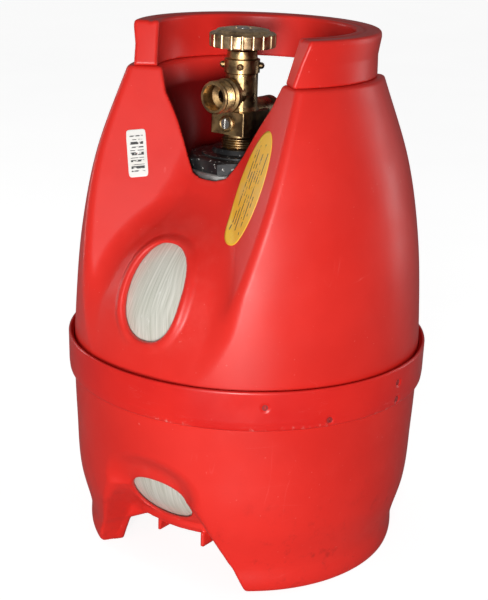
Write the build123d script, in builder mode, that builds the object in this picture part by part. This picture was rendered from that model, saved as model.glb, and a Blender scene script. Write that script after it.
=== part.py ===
from build123d import *
from math import cos, radians, sin
import os

# Composite gas cylinder: a glass-wound pressure vessel with a brass handwheel
# valve, held in a two-part moulded jacket with a separate carrying collar.
# Millimetres, +Z up, origin at the middle of the foot on the floor.
# The front, with the valve outlet, faces -Y.

os.makedirs("parts", exist_ok=True)

# ---- driving dimensions --------------------------------------------------
BAND_R = 153.0            # outside radius of the joint band
BAND_BOTTOM_Z = 153.0
BAND_TOP_Z = 186.0
SHELL_R = 148.0           # jacket radius under the band
JOINT_Z = 164.0           # where the two half jackets meet, under the band
SHOULDER_Z = 407.0        # top of the upper jacket
COLLAR_TOP_Z = 442.6
FOOT_R = 130.5            # foot radius on the floor
WALL = 3.6                # moulded wall thickness
GAP = 0.2                 # play between parts that only touch

VESSEL_R = 134.5          # wound vessel
VESSEL_LOW_Z = 115.0      # ends of its straight part
VESSEL_HIGH_Z = 200.0
VESSEL_TOP_DOME = 115.5
VESSEL_BOTTOM_DOME = 107.0
WRAP_WALL = 4.0
LINER_WALL = 1.6

VALVE_X = -4.0            # valve axis in plan
VALVE_Y = -13.0
OUTLET_Z = 389.0          # height of the outlet's axis
RELIEF_Z = 371.0          # height of the relief valve's axis

BIG = 420.0               # longer than the whole cylinder


# ---- shared shapes -------------------------------------------------------
def barrel_solid(inset, low, high):
    """Jacket barrel as a full solid, inset from its outer face."""
    with BuildPart() as barrel:
        with BuildSketch(Plane.XZ):
            with BuildLine():
                lower = Spline(
                    (134.2 - inset, 25),
                    (143.1 - inset, 62),
                    (146.2 - inset, 108),
                    (SHELL_R - inset, JOINT_Z),
                    (146.2 - inset, 215),
                    (141.0 - inset, 275),
                    (129.7 - inset, 335),
                    (104.5 - inset, SHOULDER_Z),
                )
                Polyline(
                    lower @ 1,
                    (0, SHOULDER_Z),
                    (0, 0),
                    (FOOT_R - inset, 0),
                    (132.6 - inset, 4),
                    lower @ 0,
                )
            make_face()
        revolve(axis=Axis.Z)
        with Locations((0, 0, low - BIG / 2)):
            Box(BIG, BIG, BIG, mode=Mode.SUBTRACT)
        with Locations((0, 0, high + BIG / 2)):
            Box(BIG, BIG, BIG, mode=Mode.SUBTRACT)
    return barrel.part


def vessel_solid(growth):
    """Round-ended pressure vessel, grown outwards by a wall or a gap."""
    radius = VESSEL_R + growth
    top = VESSEL_HIGH_Z + VESSEL_TOP_DOME + growth
    bottom = VESSEL_LOW_Z - VESSEL_BOTTOM_DOME - growth
    with BuildPart() as vessel:
        with BuildSketch(Plane.XZ):
            with BuildLine():
                EllipticalCenterArc(
                    (0, VESSEL_HIGH_Z), radius, top - VESSEL_HIGH_Z, start_angle=0, arc_size=90
                )
                EllipticalCenterArc(
                    (0, VESSEL_LOW_Z), radius, VESSEL_LOW_Z - bottom, start_angle=270, arc_size=90
                )
                Line((radius, VESSEL_LOW_Z), (radius, VESSEL_HIGH_Z))
                Line((0, top), (0, bottom))
            make_face()
        revolve(axis=Axis.Z)
    return vessel.part


def turned(x, y, outline):
    """Solid of revolution about an upright axis at x, y, from (radius, z) points."""
    with BuildPart() as solid:
        with BuildSketch(Plane((x, y, 0), x_dir=(1, 0, 0), z_dir=(0, -1, 0))):
            with BuildLine():
                Polyline(*outline, close=True)
            make_face()
        revolve(axis=Axis((x, y, 0), (0, 0, 1)))
    return solid.part


def turned_back(z, outline):
    """Solid of revolution about a level axis through the valve, from (radius, reach) points.

    Reach is counted from the valve's own axis, towards the back (+Y)."""
    with BuildPart() as solid:
        with BuildSketch(Plane((VALVE_X, VALVE_Y, z), x_dir=(1, 0, 0), z_dir=(0, 0, 1))):
            with BuildLine():
                Polyline(*outline, close=True)
            make_face()
        revolve(axis=Axis((VALVE_X, VALVE_Y, z), (0, 1, 0)))
    return solid.part


# ---- front and rear recesses of the upper jacket -------------------------
FACET_POINT = (63.0, -49.0, SHOULDER_Z)
FACET_NORMAL = (-0.487, -0.805, 0.338)
FACET_UP = (0.175, 0.289, 0.941)
APRON_POINT = (0.0, -59.5, 327.5)
APRON_NORMAL = (0.0, -0.891, 0.454)
SILL_POINT = (0.0, -148.0, 190.0)
SILL_NORMAL = (0.0, -0.81, 0.59)


def facet_plane(side, setback=0.0):
    """Flat flank of the recess: side +1 is at +X, set back into the jacket."""
    nx, ny, nz = FACET_NORMAL
    px, py, pz = FACET_POINT
    ux, uy, uz = FACET_UP
    origin = (side * (px - nx * setback), py - ny * setback, pz - nz * setback)
    across = Vector(side * ux, uy, uz).cross(Vector(side * nx, ny, nz))
    return Plane(origin, x_dir=across, z_dir=(side * nx, ny, nz))


def recess_solid(setback):
    """Wedge cut out of the barrel: two flanks, an apron below the valve and a sill."""
    with BuildPart() as recess:
        with Locations((0, -BIG / 4, 300)):
            Box(BIG, BIG / 2, 260)
        for side in (-1, 1):
            split(bisect_by=facet_plane(side, setback), keep=Keep.TOP)
        for point, normal in ((APRON_POINT, APRON_NORMAL), (SILL_POINT, SILL_NORMAL)):
            origin = Vector(*point) - Vector(*normal) * setback
            split(bisect_by=Plane(origin, z_dir=normal), keep=Keep.TOP)
    return recess.part


# ---- lower arches --------------------------------------------------------
LOWER_TURN = 4.25               # the lower jacket sits turned this far from the upper one
ARCH_TOP_Z = 110.0
ARCH_FACE_Y = -100.0            # flat face behind the arch; half widths are given here
ARCH_SHOULDER = (27.5, 78.0)    # half width and height where the round top ends
ARCH_FOOT_HALF = 68.1           # half width at the floor
ARCH_REACH_Y = -160.0           # the cut runs out to here, clear of the jacket
FOOT_BOTTOM_CUT_Z = -1.0
FOOT_INNER_R = 108.0
GAP_START_Y = -60.0
GAP_SHOULDER_Z = 26.0           # the feet's sides end here, and the gap's sloping top begins
GAP_TOP_HALF = 21.7
GAP_TOP_Z = 42.0


def arch_half_width(z):
    """Half width of the straight-sided part of the arch at its face."""
    shoulder_x, shoulder_z = ARCH_SHOULDER
    share = (z - FOOT_BOTTOM_CUT_Z) / (shoulder_z - FOOT_BOTTOM_CUT_Z)
    return ARCH_FOOT_HALF + share * (shoulder_x - ARCH_FOOT_HALF)


def arch_solid(setback):
    """Arch-shaped scoop out of the lower jacket. Its sides open out along the jacket's radius."""
    shoulder_x, shoulder_z = ARCH_SHOULDER
    with BuildPart() as arch:
        for y in (ARCH_FACE_Y + setback, ARCH_REACH_Y):
            spread = y / ARCH_FACE_Y
            top_x = shoulder_x * spread + setback
            foot_x = ARCH_FOOT_HALF * spread + setback
            with BuildSketch(Plane.XZ.offset(-y)):
                with BuildLine():
                    ThreePointArc(
                        (-top_x, shoulder_z), (0, ARCH_TOP_Z + setback), (top_x, shoulder_z)
                    )
                    Polyline(
                        (top_x, shoulder_z), (foot_x, FOOT_BOTTOM_CUT_Z),
                        (-foot_x, FOOT_BOTTOM_CUT_Z), (-top_x, shoulder_z),
                    )
                make_face()
        loft(ruled=True)
    return arch.part.rotate(Axis.Z, LOWER_TURN)


def foot_gap_solid(setback):
    """Way in under the vessel between two feet, whose sides carry on the arch's sides."""
    with BuildPart() as gap:
        for y in (GAP_START_Y, ARCH_FACE_Y + setback):
            spread = y / ARCH_FACE_Y
            foot_x = ARCH_FOOT_HALF * spread + setback
            side_x = arch_half_width(GAP_SHOULDER_Z) * spread + setback
            top_x = GAP_TOP_HALF * spread + setback
            with BuildSketch(Plane.XZ.offset(-y)):
                with BuildLine():
                    Polyline(
                        (foot_x, FOOT_BOTTOM_CUT_Z), (side_x, GAP_SHOULDER_Z),
                        (top_x, GAP_TOP_Z + setback), (-top_x, GAP_TOP_Z + setback),
                        (-side_x, GAP_SHOULDER_Z), (-foot_x, FOOT_BOTTOM_CUT_Z),
                        close=True,
                    )
                make_face()
        loft(ruled=True)
    return gap.part.rotate(Axis.Z, LOWER_TURN)


def window_solid(centre_z, half_width, half_height, start_y):
    """Oval hole through the jacket, running from start_y out towards the front."""
    with BuildPart() as window:
        with BuildSketch(Plane.XZ.offset(-start_y)):
            with Locations((0, centre_z)):
                Ellipse(half_width, half_height)
        extrude(amount=90)
    return window.part


# ---- joint band: sizes and pin holes, used by both half jackets ----------
BAND_LIP_R = 150.6        # inside radius of the thin lip at the band's top
BAND_LIP_DEPTH = 6.0
PIN_R = 2.4
PIN_HEAD_SINK = 0.7       # how far a pin's head sits below the band's face
UPPER_PIN_Z = 173.0
LOWER_PIN_Z = 158.5
UPPER_PIN_ANGLES = (-138, -90, -42, 42, 90, 138)
LOWER_PIN_ANGLES = (-118, -90, -62, 62, 90, 118)


def radial_plane(angle, z, radius):
    """Plane facing outwards at an angle from the front, positive towards +X."""
    turn = radians(angle)
    outward = (sin(turn), -cos(turn), 0)
    return Plane((radius * outward[0], radius * outward[1], z), x_dir=(0, 0, 1), z_dir=outward)


pin_places = [(angle, UPPER_PIN_Z) for angle in UPPER_PIN_ANGLES]
pin_places += [(angle, LOWER_PIN_Z) for angle in LOWER_PIN_ANGLES]


def pin_holes(radius):
    """Straight holes for every band pin, reaching in to the jacket's inner face."""
    with BuildPart() as holes:
        for angle, z in pin_places:
            with BuildSketch(radial_plane(angle, z, SHELL_R - WALL - 2)):
                Circle(radius)
            extrude(amount=12)
    return holes.part


# ---- upper jacket --------------------------------------------------------
WELL_TOP_R = 76.0
WELL_LOW_R = 53.3
WELL_LOW_Z = 296.0
WINDOW_Z = 244.5
WINDOW_HALF_WIDTH = 27.0
WINDOW_HALF_HEIGHT = 36.5
TONGUE_ANGLES = (-108, -90, -72, 72, 90, 108)
TONGUE_R = 90.0
TONGUE_SIZE = (16.0, 5.0, 10.0)


def well_solid(growth):
    """Round tapering well for the valve, open at the top and down to the vessel."""
    return turned(0, 0, (
        (0, WELL_LOW_Z - growth), (WELL_LOW_R + growth, WELL_LOW_Z - growth),
        (WELL_TOP_R + growth, SHOULDER_Z), (WELL_TOP_R + growth, BIG), (0, BIG),
    ))


front_recess = recess_solid(0.0)
rear_recess = front_recess.mirror(Plane.XZ)
front_core = recess_solid(WALL)
rear_core = front_core.mirror(Plane.XZ)
window = window_solid(WINDOW_Z, WINDOW_HALF_WIDTH, WINDOW_HALF_HEIGHT, -60.0)

# Everything inside the outer skin: hollow between the skin and the well's wall
with BuildPart() as upper_core:
    add(barrel_solid(WALL, JOINT_Z - 1, SHOULDER_Z - WALL))
    add(front_core, mode=Mode.SUBTRACT)
    add(rear_core, mode=Mode.SUBTRACT)
    add(vessel_solid(GAP))
    add(well_solid(WALL), mode=Mode.SUBTRACT)

with BuildPart() as upper_shell:
    add(barrel_solid(0, JOINT_Z, SHOULDER_Z))
    add(front_recess, mode=Mode.SUBTRACT)
    add(rear_recess, mode=Mode.SUBTRACT)
    add(vessel_solid(GAP + WALL))
    with Locations((0, 0, JOINT_Z - BIG / 2)):
        Box(BIG, BIG, BIG, mode=Mode.SUBTRACT)
    add(upper_core.part, mode=Mode.SUBTRACT)
    add(vessel_solid(GAP), mode=Mode.SUBTRACT)
    add(well_solid(0), mode=Mode.SUBTRACT)
    add(window, mode=Mode.SUBTRACT)
    add(window.mirror(Plane.XZ), mode=Mode.SUBTRACT)
    for angle in TONGUE_ANGLES:
        along = Plane.XY.offset(SHOULDER_Z).rotated((0, 0, angle - 90))
        with BuildSketch(along):
            with Locations((TONGUE_R, 0)):
                Rectangle(TONGUE_SIZE[1] + 2 * GAP, TONGUE_SIZE[0] + 2 * GAP)
        extrude(amount=-2 * WALL, mode=Mode.SUBTRACT)
    add(pin_holes(PIN_R + 0.05), mode=Mode.SUBTRACT)
upper_shell.part.label = "upper_shell"
export_step(upper_shell.part, "parts/upper_shell.step")

# ---- lower jacket --------------------------------------------------------
LOWER_WINDOW_Z = 71.0
LOWER_WINDOW_HALF_WIDTH = 28.5
LOWER_WINDOW_HALF_HEIGHT = 20.5
DRAIN_R = 62.0
PAN_RIM_Z = 80.0
BAR_REACH = 56.0          # half width of the bar under the lower window
BAR_OUTLINE = ((96, 42.5), (107, 42.5), (107, 44), (112, 44), (112, 50), (111, 51), (96, 51))
RIB_XS = (-7.0, 39.0)     # two ribs that hang under the bar
RIB_SIZE = (3.0, 17.0, 13.0)
RIB_Y = -98.5
RIB_BOTTOM_Z = 29.5

front_arch = arch_solid(0.0)
front_arch_core = arch_solid(WALL)
foot_gap = foot_gap_solid(0.0)
foot_gap_core = foot_gap_solid(WALL)
lower_window = window_solid(
    LOWER_WINDOW_Z, LOWER_WINDOW_HALF_WIDTH, LOWER_WINDOW_HALF_HEIGHT, GAP_START_Y
)
lower_window = lower_window.rotate(Axis.Z, LOWER_TURN)

# The pan under the vessel stops short of the straight part of the jacket
with BuildPart() as pan:
    add(vessel_solid(GAP + WALL))
    with Locations((0, 0, PAN_RIM_Z + BIG / 2)):
        Box(BIG, BIG, BIG, mode=Mode.SUBTRACT)

# Stepped bar across the arch, under the lower window, with its two ribs
with BuildPart() as window_bar:
    add(turned(0, 0, BAR_OUTLINE))
    with Locations((0, -BAND_R / 2, 0)):
        Box(2 * BAR_REACH, BAND_R, BIG, mode=Mode.INTERSECT)
    for x in RIB_XS:
        with Locations((x, RIB_Y, RIB_BOTTOM_Z)):
            Box(*RIB_SIZE, align=(Align.CENTER, Align.CENTER, Align.MIN))

# Hollow between the outer skin, the pan and the foot's inner wall
with BuildPart() as lower_core:
    add(barrel_solid(WALL, -1, JOINT_Z + 1))
    for core in (front_arch_core, foot_gap_core):
        add(core, mode=Mode.SUBTRACT)
        add(core.mirror(Plane.XZ), mode=Mode.SUBTRACT)
    with Locations((0, 0, -2)):
        Cylinder(
            FOOT_INNER_R + WALL, 60, align=(Align.CENTER, Align.CENTER, Align.MIN), mode=Mode.SUBTRACT
        )
    add(pan.part, mode=Mode.SUBTRACT)
    with Locations((0, 0, WALL - BIG / 2)):
        Box(BIG, BIG, BIG, mode=Mode.SUBTRACT)

with BuildPart() as lower_shell:
    add(barrel_solid(0, 0, JOINT_Z))
    add(front_arch, mode=Mode.SUBTRACT)
    add(front_arch.mirror(Plane.XZ), mode=Mode.SUBTRACT)
    with Locations((0, 0, -1)):
        Cylinder(
            FOOT_INNER_R, 66, align=(Align.CENTER, Align.CENTER, Align.MIN), mode=Mode.SUBTRACT
        )
    add(foot_gap, mode=Mode.SUBTRACT)
    add(foot_gap.mirror(Plane.XZ), mode=Mode.SUBTRACT)
    add(vessel_solid(GAP + WALL))
    with Locations((0, 0, JOINT_Z + BIG / 2)):
        Box(BIG, BIG, BIG, mode=Mode.SUBTRACT)
    add(lower_core.part, mode=Mode.SUBTRACT)
    add(window_bar.part)
    add(window_bar.part.mirror(Plane.XZ))
    add(vessel_solid(GAP), mode=Mode.SUBTRACT)
    Cylinder(DRAIN_R, BIG / 2, mode=Mode.SUBTRACT)
    add(lower_window, mode=Mode.SUBTRACT)
    add(lower_window.mirror(Plane.XZ), mode=Mode.SUBTRACT)
    add(pin_holes(PIN_R + 0.05), mode=Mode.SUBTRACT)
lower_shell.part.label = "lower_shell"
export_step(lower_shell.part, "parts/lower_shell.step")

# ---- joint band and its pins ---------------------------------------------
with BuildPart() as joint_band:
    add(turned(0, 0, (
        (SHELL_R + 0.1, BAND_BOTTOM_Z), (BAND_R - 1.5, BAND_BOTTOM_Z),
        (BAND_R - 0.4, BAND_BOTTOM_Z + 6), (BAND_R, BAND_TOP_Z - 2), (BAND_R, BAND_TOP_Z),
        (BAND_LIP_R, BAND_TOP_Z), (BAND_LIP_R, BAND_TOP_Z - BAND_LIP_DEPTH),
        (SHELL_R + 0.1, BAND_TOP_Z - BAND_LIP_DEPTH),
    )))
    add(pin_holes(PIN_R + 0.05), mode=Mode.SUBTRACT)
joint_band.part.label = "joint_band"
export_step(joint_band.part, "parts/joint_band.step")

with BuildPart() as band_pins:
    for angle, z in pin_places:
        with BuildSketch(radial_plane(angle, z, SHELL_R - WALL)):
            Circle(PIN_R)
        extrude(amount=BAND_R - PIN_HEAD_SINK - 0.4 - SHELL_R + WALL)
        with BuildSketch(radial_plane(angle, z, BAND_R - PIN_HEAD_SINK - 0.4)):
            Rectangle(2.6, 0.8)
        extrude(amount=-0.8, mode=Mode.SUBTRACT)
band_pins.part.label = "band_pins"
export_step(band_pins.part, "parts/band_pins.step")

# ---- carrying collar -----------------------------------------------------
COLLAR_R = 99.0
COLLAR_BEAD_R = 100.8
COLLAR_INNER_R = 80.0
GAP_BASE_ANGLE = 52.3     # half of the front gap, at the collar's foot
GAP_TOP_ANGLE = 59.7      # and at its rim


def around(radius, angle, z):
    """Point at an angle from the front, positive towards +X."""
    return Vector(radius * sin(radians(angle)), -radius * cos(radians(angle)), z)


def gap_plane(side):
    """Slanted end face of the collar, looking into the front gap."""
    base = around(COLLAR_R, side * GAP_BASE_ANGLE, SHOULDER_Z)
    top = around(COLLAR_BEAD_R, side * GAP_TOP_ANGLE, COLLAR_TOP_Z)
    middle_angle = (GAP_BASE_ANGLE + GAP_TOP_ANGLE) / 2
    inner = around(COLLAR_INNER_R, side * middle_angle, (SHOULDER_Z + COLLAR_TOP_Z) / 2)
    normal = (top - base).cross(inner - base)
    if normal.dot(around(COLLAR_R, 0, SHOULDER_Z) - base) < 0:
        normal = normal * -1
    return Plane(base, z_dir=normal)


with BuildPart() as collar_gap:
    with Locations((0, -BIG / 4, COLLAR_TOP_Z)):
        Box(BIG, BIG / 2, 120)
    for side in (-1, 1):
        split(bisect_by=gap_plane(side), keep=Keep.TOP)

with BuildPart() as carry_collar:
    add(turned(0, 0, (
        (COLLAR_INNER_R, SHOULDER_Z), (COLLAR_R, SHOULDER_Z), (COLLAR_R - 0.4, 424),
        (COLLAR_BEAD_R - 0.8, 433), (COLLAR_BEAD_R, 438), (COLLAR_BEAD_R - 0.6, 441.4),
        (COLLAR_BEAD_R - 2.6, COLLAR_TOP_Z), (89.5, COLLAR_TOP_Z), (88.5, 441.6),
        (85.5, 441.6), (84.5, COLLAR_TOP_Z), (82, COLLAR_TOP_Z), (COLLAR_INNER_R, 440),
    )))
    add(collar_gap.part, mode=Mode.SUBTRACT)
    for angle in TONGUE_ANGLES:
        with BuildSketch(Plane.XY.offset(SHOULDER_Z).rotated((0, 0, angle - 90))):
            with Locations((TONGUE_R, 0)):
                Rectangle(TONGUE_SIZE[1], TONGUE_SIZE[0])
        extrude(amount=-TONGUE_SIZE[2])
carry_collar.part.label = "carry_collar"
export_step(carry_collar.part, "parts/carry_collar.step")

# ---- pressure vessel: liner, winding and neck boss -----------------------
BOSS_R = 44.0
BOSS_NECK_R = 24.0
BOSS_TOP_Z = 329.0
BOSS_FLANGE_Z = 317.5
BOSS_INNER_R = 33.0
BOSS_INNER_Z = 292.0
STUB_R = 13.0             # valve's threaded stub in the boss

neck_hole = turned(VALVE_X, VALVE_Y, (
    (0, 280), (BOSS_NECK_R + 0.1, 280), (BOSS_NECK_R + 0.1, 340), (0, 340),
))

with BuildPart() as composite_wrap:
    add(vessel_solid(0))
    add(vessel_solid(-WRAP_WALL), mode=Mode.SUBTRACT)
    add(neck_hole, mode=Mode.SUBTRACT)
composite_wrap.part.label = "composite_wrap"
export_step(composite_wrap.part, "parts/composite_wrap.step")

with BuildPart() as liner:
    add(vessel_solid(-WRAP_WALL - 0.05))
    add(vessel_solid(-WRAP_WALL - LINER_WALL), mode=Mode.SUBTRACT)
    add(neck_hole, mode=Mode.SUBTRACT)
liner.part.label = "liner"
export_step(liner.part, "parts/liner.step")

SEAL_Z = 326.6            # floor of the boss's seal groove
neck_boss = turned(VALVE_X, VALVE_Y, (
    (STUB_R + 0.05, BOSS_INNER_Z), (BOSS_INNER_R, BOSS_INNER_Z), (BOSS_INNER_R, 297),
    (BOSS_NECK_R, 300), (BOSS_NECK_R, BOSS_FLANGE_Z), (BOSS_R - 2, BOSS_FLANGE_Z),
    (BOSS_R, BOSS_FLANGE_Z + 2), (BOSS_R, BOSS_TOP_Z - 1), (BOSS_R - 1, BOSS_TOP_Z),
    (STUB_R + 2.8, BOSS_TOP_Z), (STUB_R + 2.8, SEAL_Z), (STUB_R + 0.05, SEAL_Z),
))
neck_boss.label = "neck_boss"
export_step(neck_boss, "parts/neck_boss.step")

neck_seal = turned(VALVE_X, VALVE_Y, (
    (STUB_R + 0.1, SEAL_Z), (STUB_R + 2.7, SEAL_Z),
    (STUB_R + 2.7, BOSS_TOP_Z - 0.05), (STUB_R + 0.1, BOSS_TOP_Z - 0.05),
))
neck_seal.label = "neck_seal"
export_step(neck_seal, "parts/neck_seal.step")

# ---- clamp nut -----------------------------------------------------------
NUT_SIDES = 8
NUT_CORNER_R = 43.5
NUT_TURN = 13.0
NUT_TOP_Z = 339.2
NECK_R = 15.0
HUB_TOP_Z = 345.0

with BuildPart() as clamp_nut:
    with BuildSketch(Plane((VALVE_X, VALVE_Y, BOSS_TOP_Z))):
        RegularPolygon(NUT_CORNER_R, NUT_SIDES, rotation=NUT_TURN)
    extrude(amount=NUT_TOP_Z - BOSS_TOP_Z)
    add(turned(VALVE_X, VALVE_Y, (
        (0, BOSS_TOP_Z), (NUT_CORNER_R, BOSS_TOP_Z), (NUT_CORNER_R, NUT_TOP_Z - 2),
        (NUT_CORNER_R - 5, NUT_TOP_Z), (0, NUT_TOP_Z),
    )), mode=Mode.INTERSECT)
    add(turned(VALVE_X, VALVE_Y, (
        (0, NUT_TOP_Z - 1), (31, NUT_TOP_Z - 1), (31, NUT_TOP_Z + 1.4), (23, NUT_TOP_Z + 2.2),
        (21.5, HUB_TOP_Z), (0, HUB_TOP_Z),
    )))
    with Locations((VALVE_X, VALVE_Y, BOSS_TOP_Z)):
        Cylinder(NECK_R + 0.05, 60, mode=Mode.SUBTRACT)
clamp_nut.part.label = "clamp_nut"
export_step(clamp_nut.part, "parts/clamp_nut.step")

# ---- valve body ----------------------------------------------------------
BLOCK_SIZE = (33.0, 36.0)
BLOCK_BOTTOM_Z = 357.0
BLOCK_TOP_Z = 375.8
STEM_R = 13.25
STEM_TOP_Z = 406.0
STUB_BOTTOM_Z = 297.0
SEAT_Z = 384.0            # the seat that the plug's disc closes
INLET_R = 5.0
CHAMBER_R = 8.6
OUTLET_R = 13.2
OUTLET_REACH = 37.0       # from the valve's axis to the outlet's face
OUTLET_BORE_R = 5.8
OUTLET_SOCKET_R = 10.25
OUTLET_SOCKET_DEPTH = 12.0
THREAD_PITCH = 1.8
SPIGOT_R = 11.0           # socket for the bonnet in the body's top
SPIGOT_Z = 396.0
RELIEF_BOSS_R = 12.0
RELIEF_BOSS_REACH = 24.0
RELIEF_THREAD_R = 8.0
RELIEF_THREAD_REACH = 12.0
GAUGE_Z = 366.0
GAUGE_R = 6.75
GAUGE_SHANK_R = 4.5


def ridged(radius, start, count, pitch, depth):
    """Outline points of parallel thread ridges along one side, from start onwards."""
    points = []
    for turn in range(count):
        low = start + turn * pitch
        points += [(radius - depth, low), (radius, low + 0.35 * pitch), (radius, low + 0.65 * pitch)]
    points += [(radius - depth, start + count * pitch)]
    return points


with BuildPart() as valve_body:
    neck_outline = [(0, STUB_BOTTOM_Z), (STUB_R, STUB_BOTTOM_Z), (STUB_R, BOSS_TOP_Z)]
    neck_outline += [(NECK_R, BOSS_TOP_Z), (NECK_R, HUB_TOP_Z)]
    neck_outline += ridged(NECK_R, HUB_TOP_Z + 0.4, 4, 2.0, 0.9)
    neck_outline += [(NECK_R - 2, HUB_TOP_Z + 9), (NECK_R - 2, BLOCK_BOTTOM_Z + 1)]
    neck_outline += [(0, BLOCK_BOTTOM_Z + 1)]
    add(turned(VALVE_X, VALVE_Y, neck_outline))
    with BuildSketch(Plane((VALVE_X, VALVE_Y, BLOCK_BOTTOM_Z))):
        RectangleRounded(*BLOCK_SIZE, 1.2)
    extrude(amount=BLOCK_TOP_Z - BLOCK_BOTTOM_Z)
    add(turned(VALVE_X, VALVE_Y, (
        (0, BLOCK_TOP_Z - 1), (STEM_R + 2, BLOCK_TOP_Z - 1), (STEM_R, BLOCK_TOP_Z + 3),
        (STEM_R, STEM_TOP_Z - 1), (STEM_R - 1, STEM_TOP_Z), (0, STEM_TOP_Z),
    )))
    # casting rib up the stem, on the right of the outlet
    with BuildSketch(Plane((VALVE_X, VALVE_Y, BLOCK_TOP_Z - 1)).rotated((0, 0, -52))):
        with Locations((STEM_R, 0)):
            Rectangle(3.4, 2.6)
    extrude(amount=STEM_TOP_Z - BLOCK_TOP_Z - 1)
    # outlet, towards the front
    outlet_outline = [(0, -OUTLET_REACH), (OUTLET_R - 1, -OUTLET_REACH)]
    outlet_outline += [(OUTLET_R, -OUTLET_REACH + 1), (OUTLET_R, -OUTLET_REACH + 2.6)]
    outlet_outline += ridged(OUTLET_R, -OUTLET_REACH + 3, 5, THREAD_PITCH, 0.9)
    outlet_outline += [(OUTLET_R - 1.6, -OUTLET_REACH + 12.4), (OUTLET_R - 1.6, -22)]
    outlet_outline += [(OUTLET_R + 0.6, -21), (OUTLET_R + 0.6, -17.5), (11, -14), (11, 0), (0, 0)]
    add(turned_back(OUTLET_Z, outlet_outline))
    add(turned_back(RELIEF_Z, (
        (0, 0), (RELIEF_BOSS_R, 0), (RELIEF_BOSS_R, RELIEF_BOSS_REACH - 1),
        (RELIEF_BOSS_R - 1, RELIEF_BOSS_REACH), (0, RELIEF_BOSS_REACH),
    )))
    # passages: inlet, seat, plug chamber and bonnet socket
    add(turned(VALVE_X, VALVE_Y, (
        (0, STUB_BOTTOM_Z - 1), (INLET_R, STUB_BOTTOM_Z - 1), (INLET_R, SEAT_Z), (CHAMBER_R, SEAT_Z),
        (CHAMBER_R, SPIGOT_Z), (SPIGOT_R, SPIGOT_Z), (SPIGOT_R, STEM_TOP_Z + 1), (0, STEM_TOP_Z + 1),
    )), mode=Mode.SUBTRACT)
    add(turned_back(OUTLET_Z, (
        (0, -OUTLET_REACH - 1), (OUTLET_SOCKET_R, -OUTLET_REACH - 1),
        (OUTLET_SOCKET_R, -OUTLET_REACH + OUTLET_SOCKET_DEPTH),
        (OUTLET_BORE_R, -OUTLET_REACH + OUTLET_SOCKET_DEPTH + 2), (OUTLET_BORE_R, -5), (0, -5),
    )), mode=Mode.SUBTRACT)
    add(turned_back(RELIEF_Z, (
        (0, 2), (3, 2), (3, RELIEF_THREAD_REACH), (RELIEF_THREAD_R, RELIEF_THREAD_REACH),
        (RELIEF_THREAD_R, RELIEF_BOSS_REACH + 1), (0, RELIEF_BOSS_REACH + 1),
    )), mode=Mode.SUBTRACT)
    add(turned_back(GAUGE_Z, (
        (0, -3), (2, -3), (2, -9), (GAUGE_SHANK_R, -9), (GAUGE_SHANK_R, -BLOCK_SIZE[1]),
        (0, -BLOCK_SIZE[1]),
    )), mode=Mode.SUBTRACT)
valve_body.part.label = "valve_body"
export_step(valve_body.part, "parts/valve_body.step")

# ---- liquid level gauge plug on the front of the block -------------------
gauge_face = -BLOCK_SIZE[1] / 2
level_gauge_plug = turned_back(GAUGE_Z, (
    (2.6, -9.2), (GAUGE_SHANK_R - 0.05, -9.2), (GAUGE_SHANK_R - 0.05, gauge_face),
    (GAUGE_R, gauge_face), (GAUGE_R, gauge_face - 1.4), (GAUGE_R - 1, gauge_face - 2.2),
    (GAUGE_R - 1.8, gauge_face - 1.4), (2.6, gauge_face - 1.4),
))
level_gauge_plug.label = "level_gauge_plug"
export_step(level_gauge_plug, "parts/level_gauge_plug.step")

with BuildPart() as level_gauge_screw:
    add(turned_back(GAUGE_Z, (
        (0, -9.4), (2.55, -9.4), (2.55, gauge_face - 1.45), (4.4, gauge_face - 1.45),
        (4.0, gauge_face - 2.9), (0, gauge_face - 3.2),
    )))
    with Locations((VALVE_X, VALVE_Y + gauge_face - 3.2, GAUGE_Z)):
        Box(1.2, 2.0, 12, mode=Mode.SUBTRACT)
level_gauge_screw.part.label = "level_gauge_screw"
export_step(level_gauge_screw.part, "parts/level_gauge_screw.step")

# ---- bonnet, spindle and plug --------------------------------------------
BONNET_R = 14.5
BONNET_TOP_Z = 424.0
PLUG_R = 8.0
SPINDLE_R = 5.0
SPINDLE_FLANGE_R = 7.4
SPINDLE_TOP_Z = 438.0
FLANGE_Z = 403.6          # underside of the spindle's retaining flange
SHOULDER_STOP_Z = 406.8   # bonnet shoulder that holds the flange down
SEAL_RING_ZS = (411.5, 417.5)
SEAL_RING_HEIGHT = 2.0
SEAL_RING_R = 6.9
RUNNING = 0.05            # radial running clearance
GRUB_Z = 411.5
GRUB_R = 2.4
GRUB_BALL_R = 2.8
GRUB_ANGLES = (31, 121, 211, 301)

bonnet_outline = [(PLUG_R + RUNNING, SPIGOT_Z), (SPIGOT_R - 0.05, SPIGOT_Z)]
bonnet_outline += [(SPIGOT_R - 0.05, STEM_TOP_Z), (BONNET_R, STEM_TOP_Z)]
bonnet_outline += [(BONNET_R, STEM_TOP_Z + 10.5), (BONNET_R - 2.2, STEM_TOP_Z + 11.5)]
bonnet_outline += [(BONNET_R - 2.2, BONNET_TOP_Z - 1), (BONNET_R - 3.2, BONNET_TOP_Z)]
bonnet_outline += [(SPINDLE_R + RUNNING, BONNET_TOP_Z)]
for ring_z in reversed(SEAL_RING_ZS):
    bonnet_outline += [(SPINDLE_R + RUNNING, ring_z + SEAL_RING_HEIGHT)]
    bonnet_outline += [(SEAL_RING_R, ring_z + SEAL_RING_HEIGHT), (SEAL_RING_R, ring_z)]
    bonnet_outline += [(SPINDLE_R + RUNNING, ring_z)]
bonnet_outline += [(SPINDLE_R + RUNNING, SHOULDER_STOP_Z), (PLUG_R + RUNNING, SHOULDER_STOP_Z)]

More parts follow.
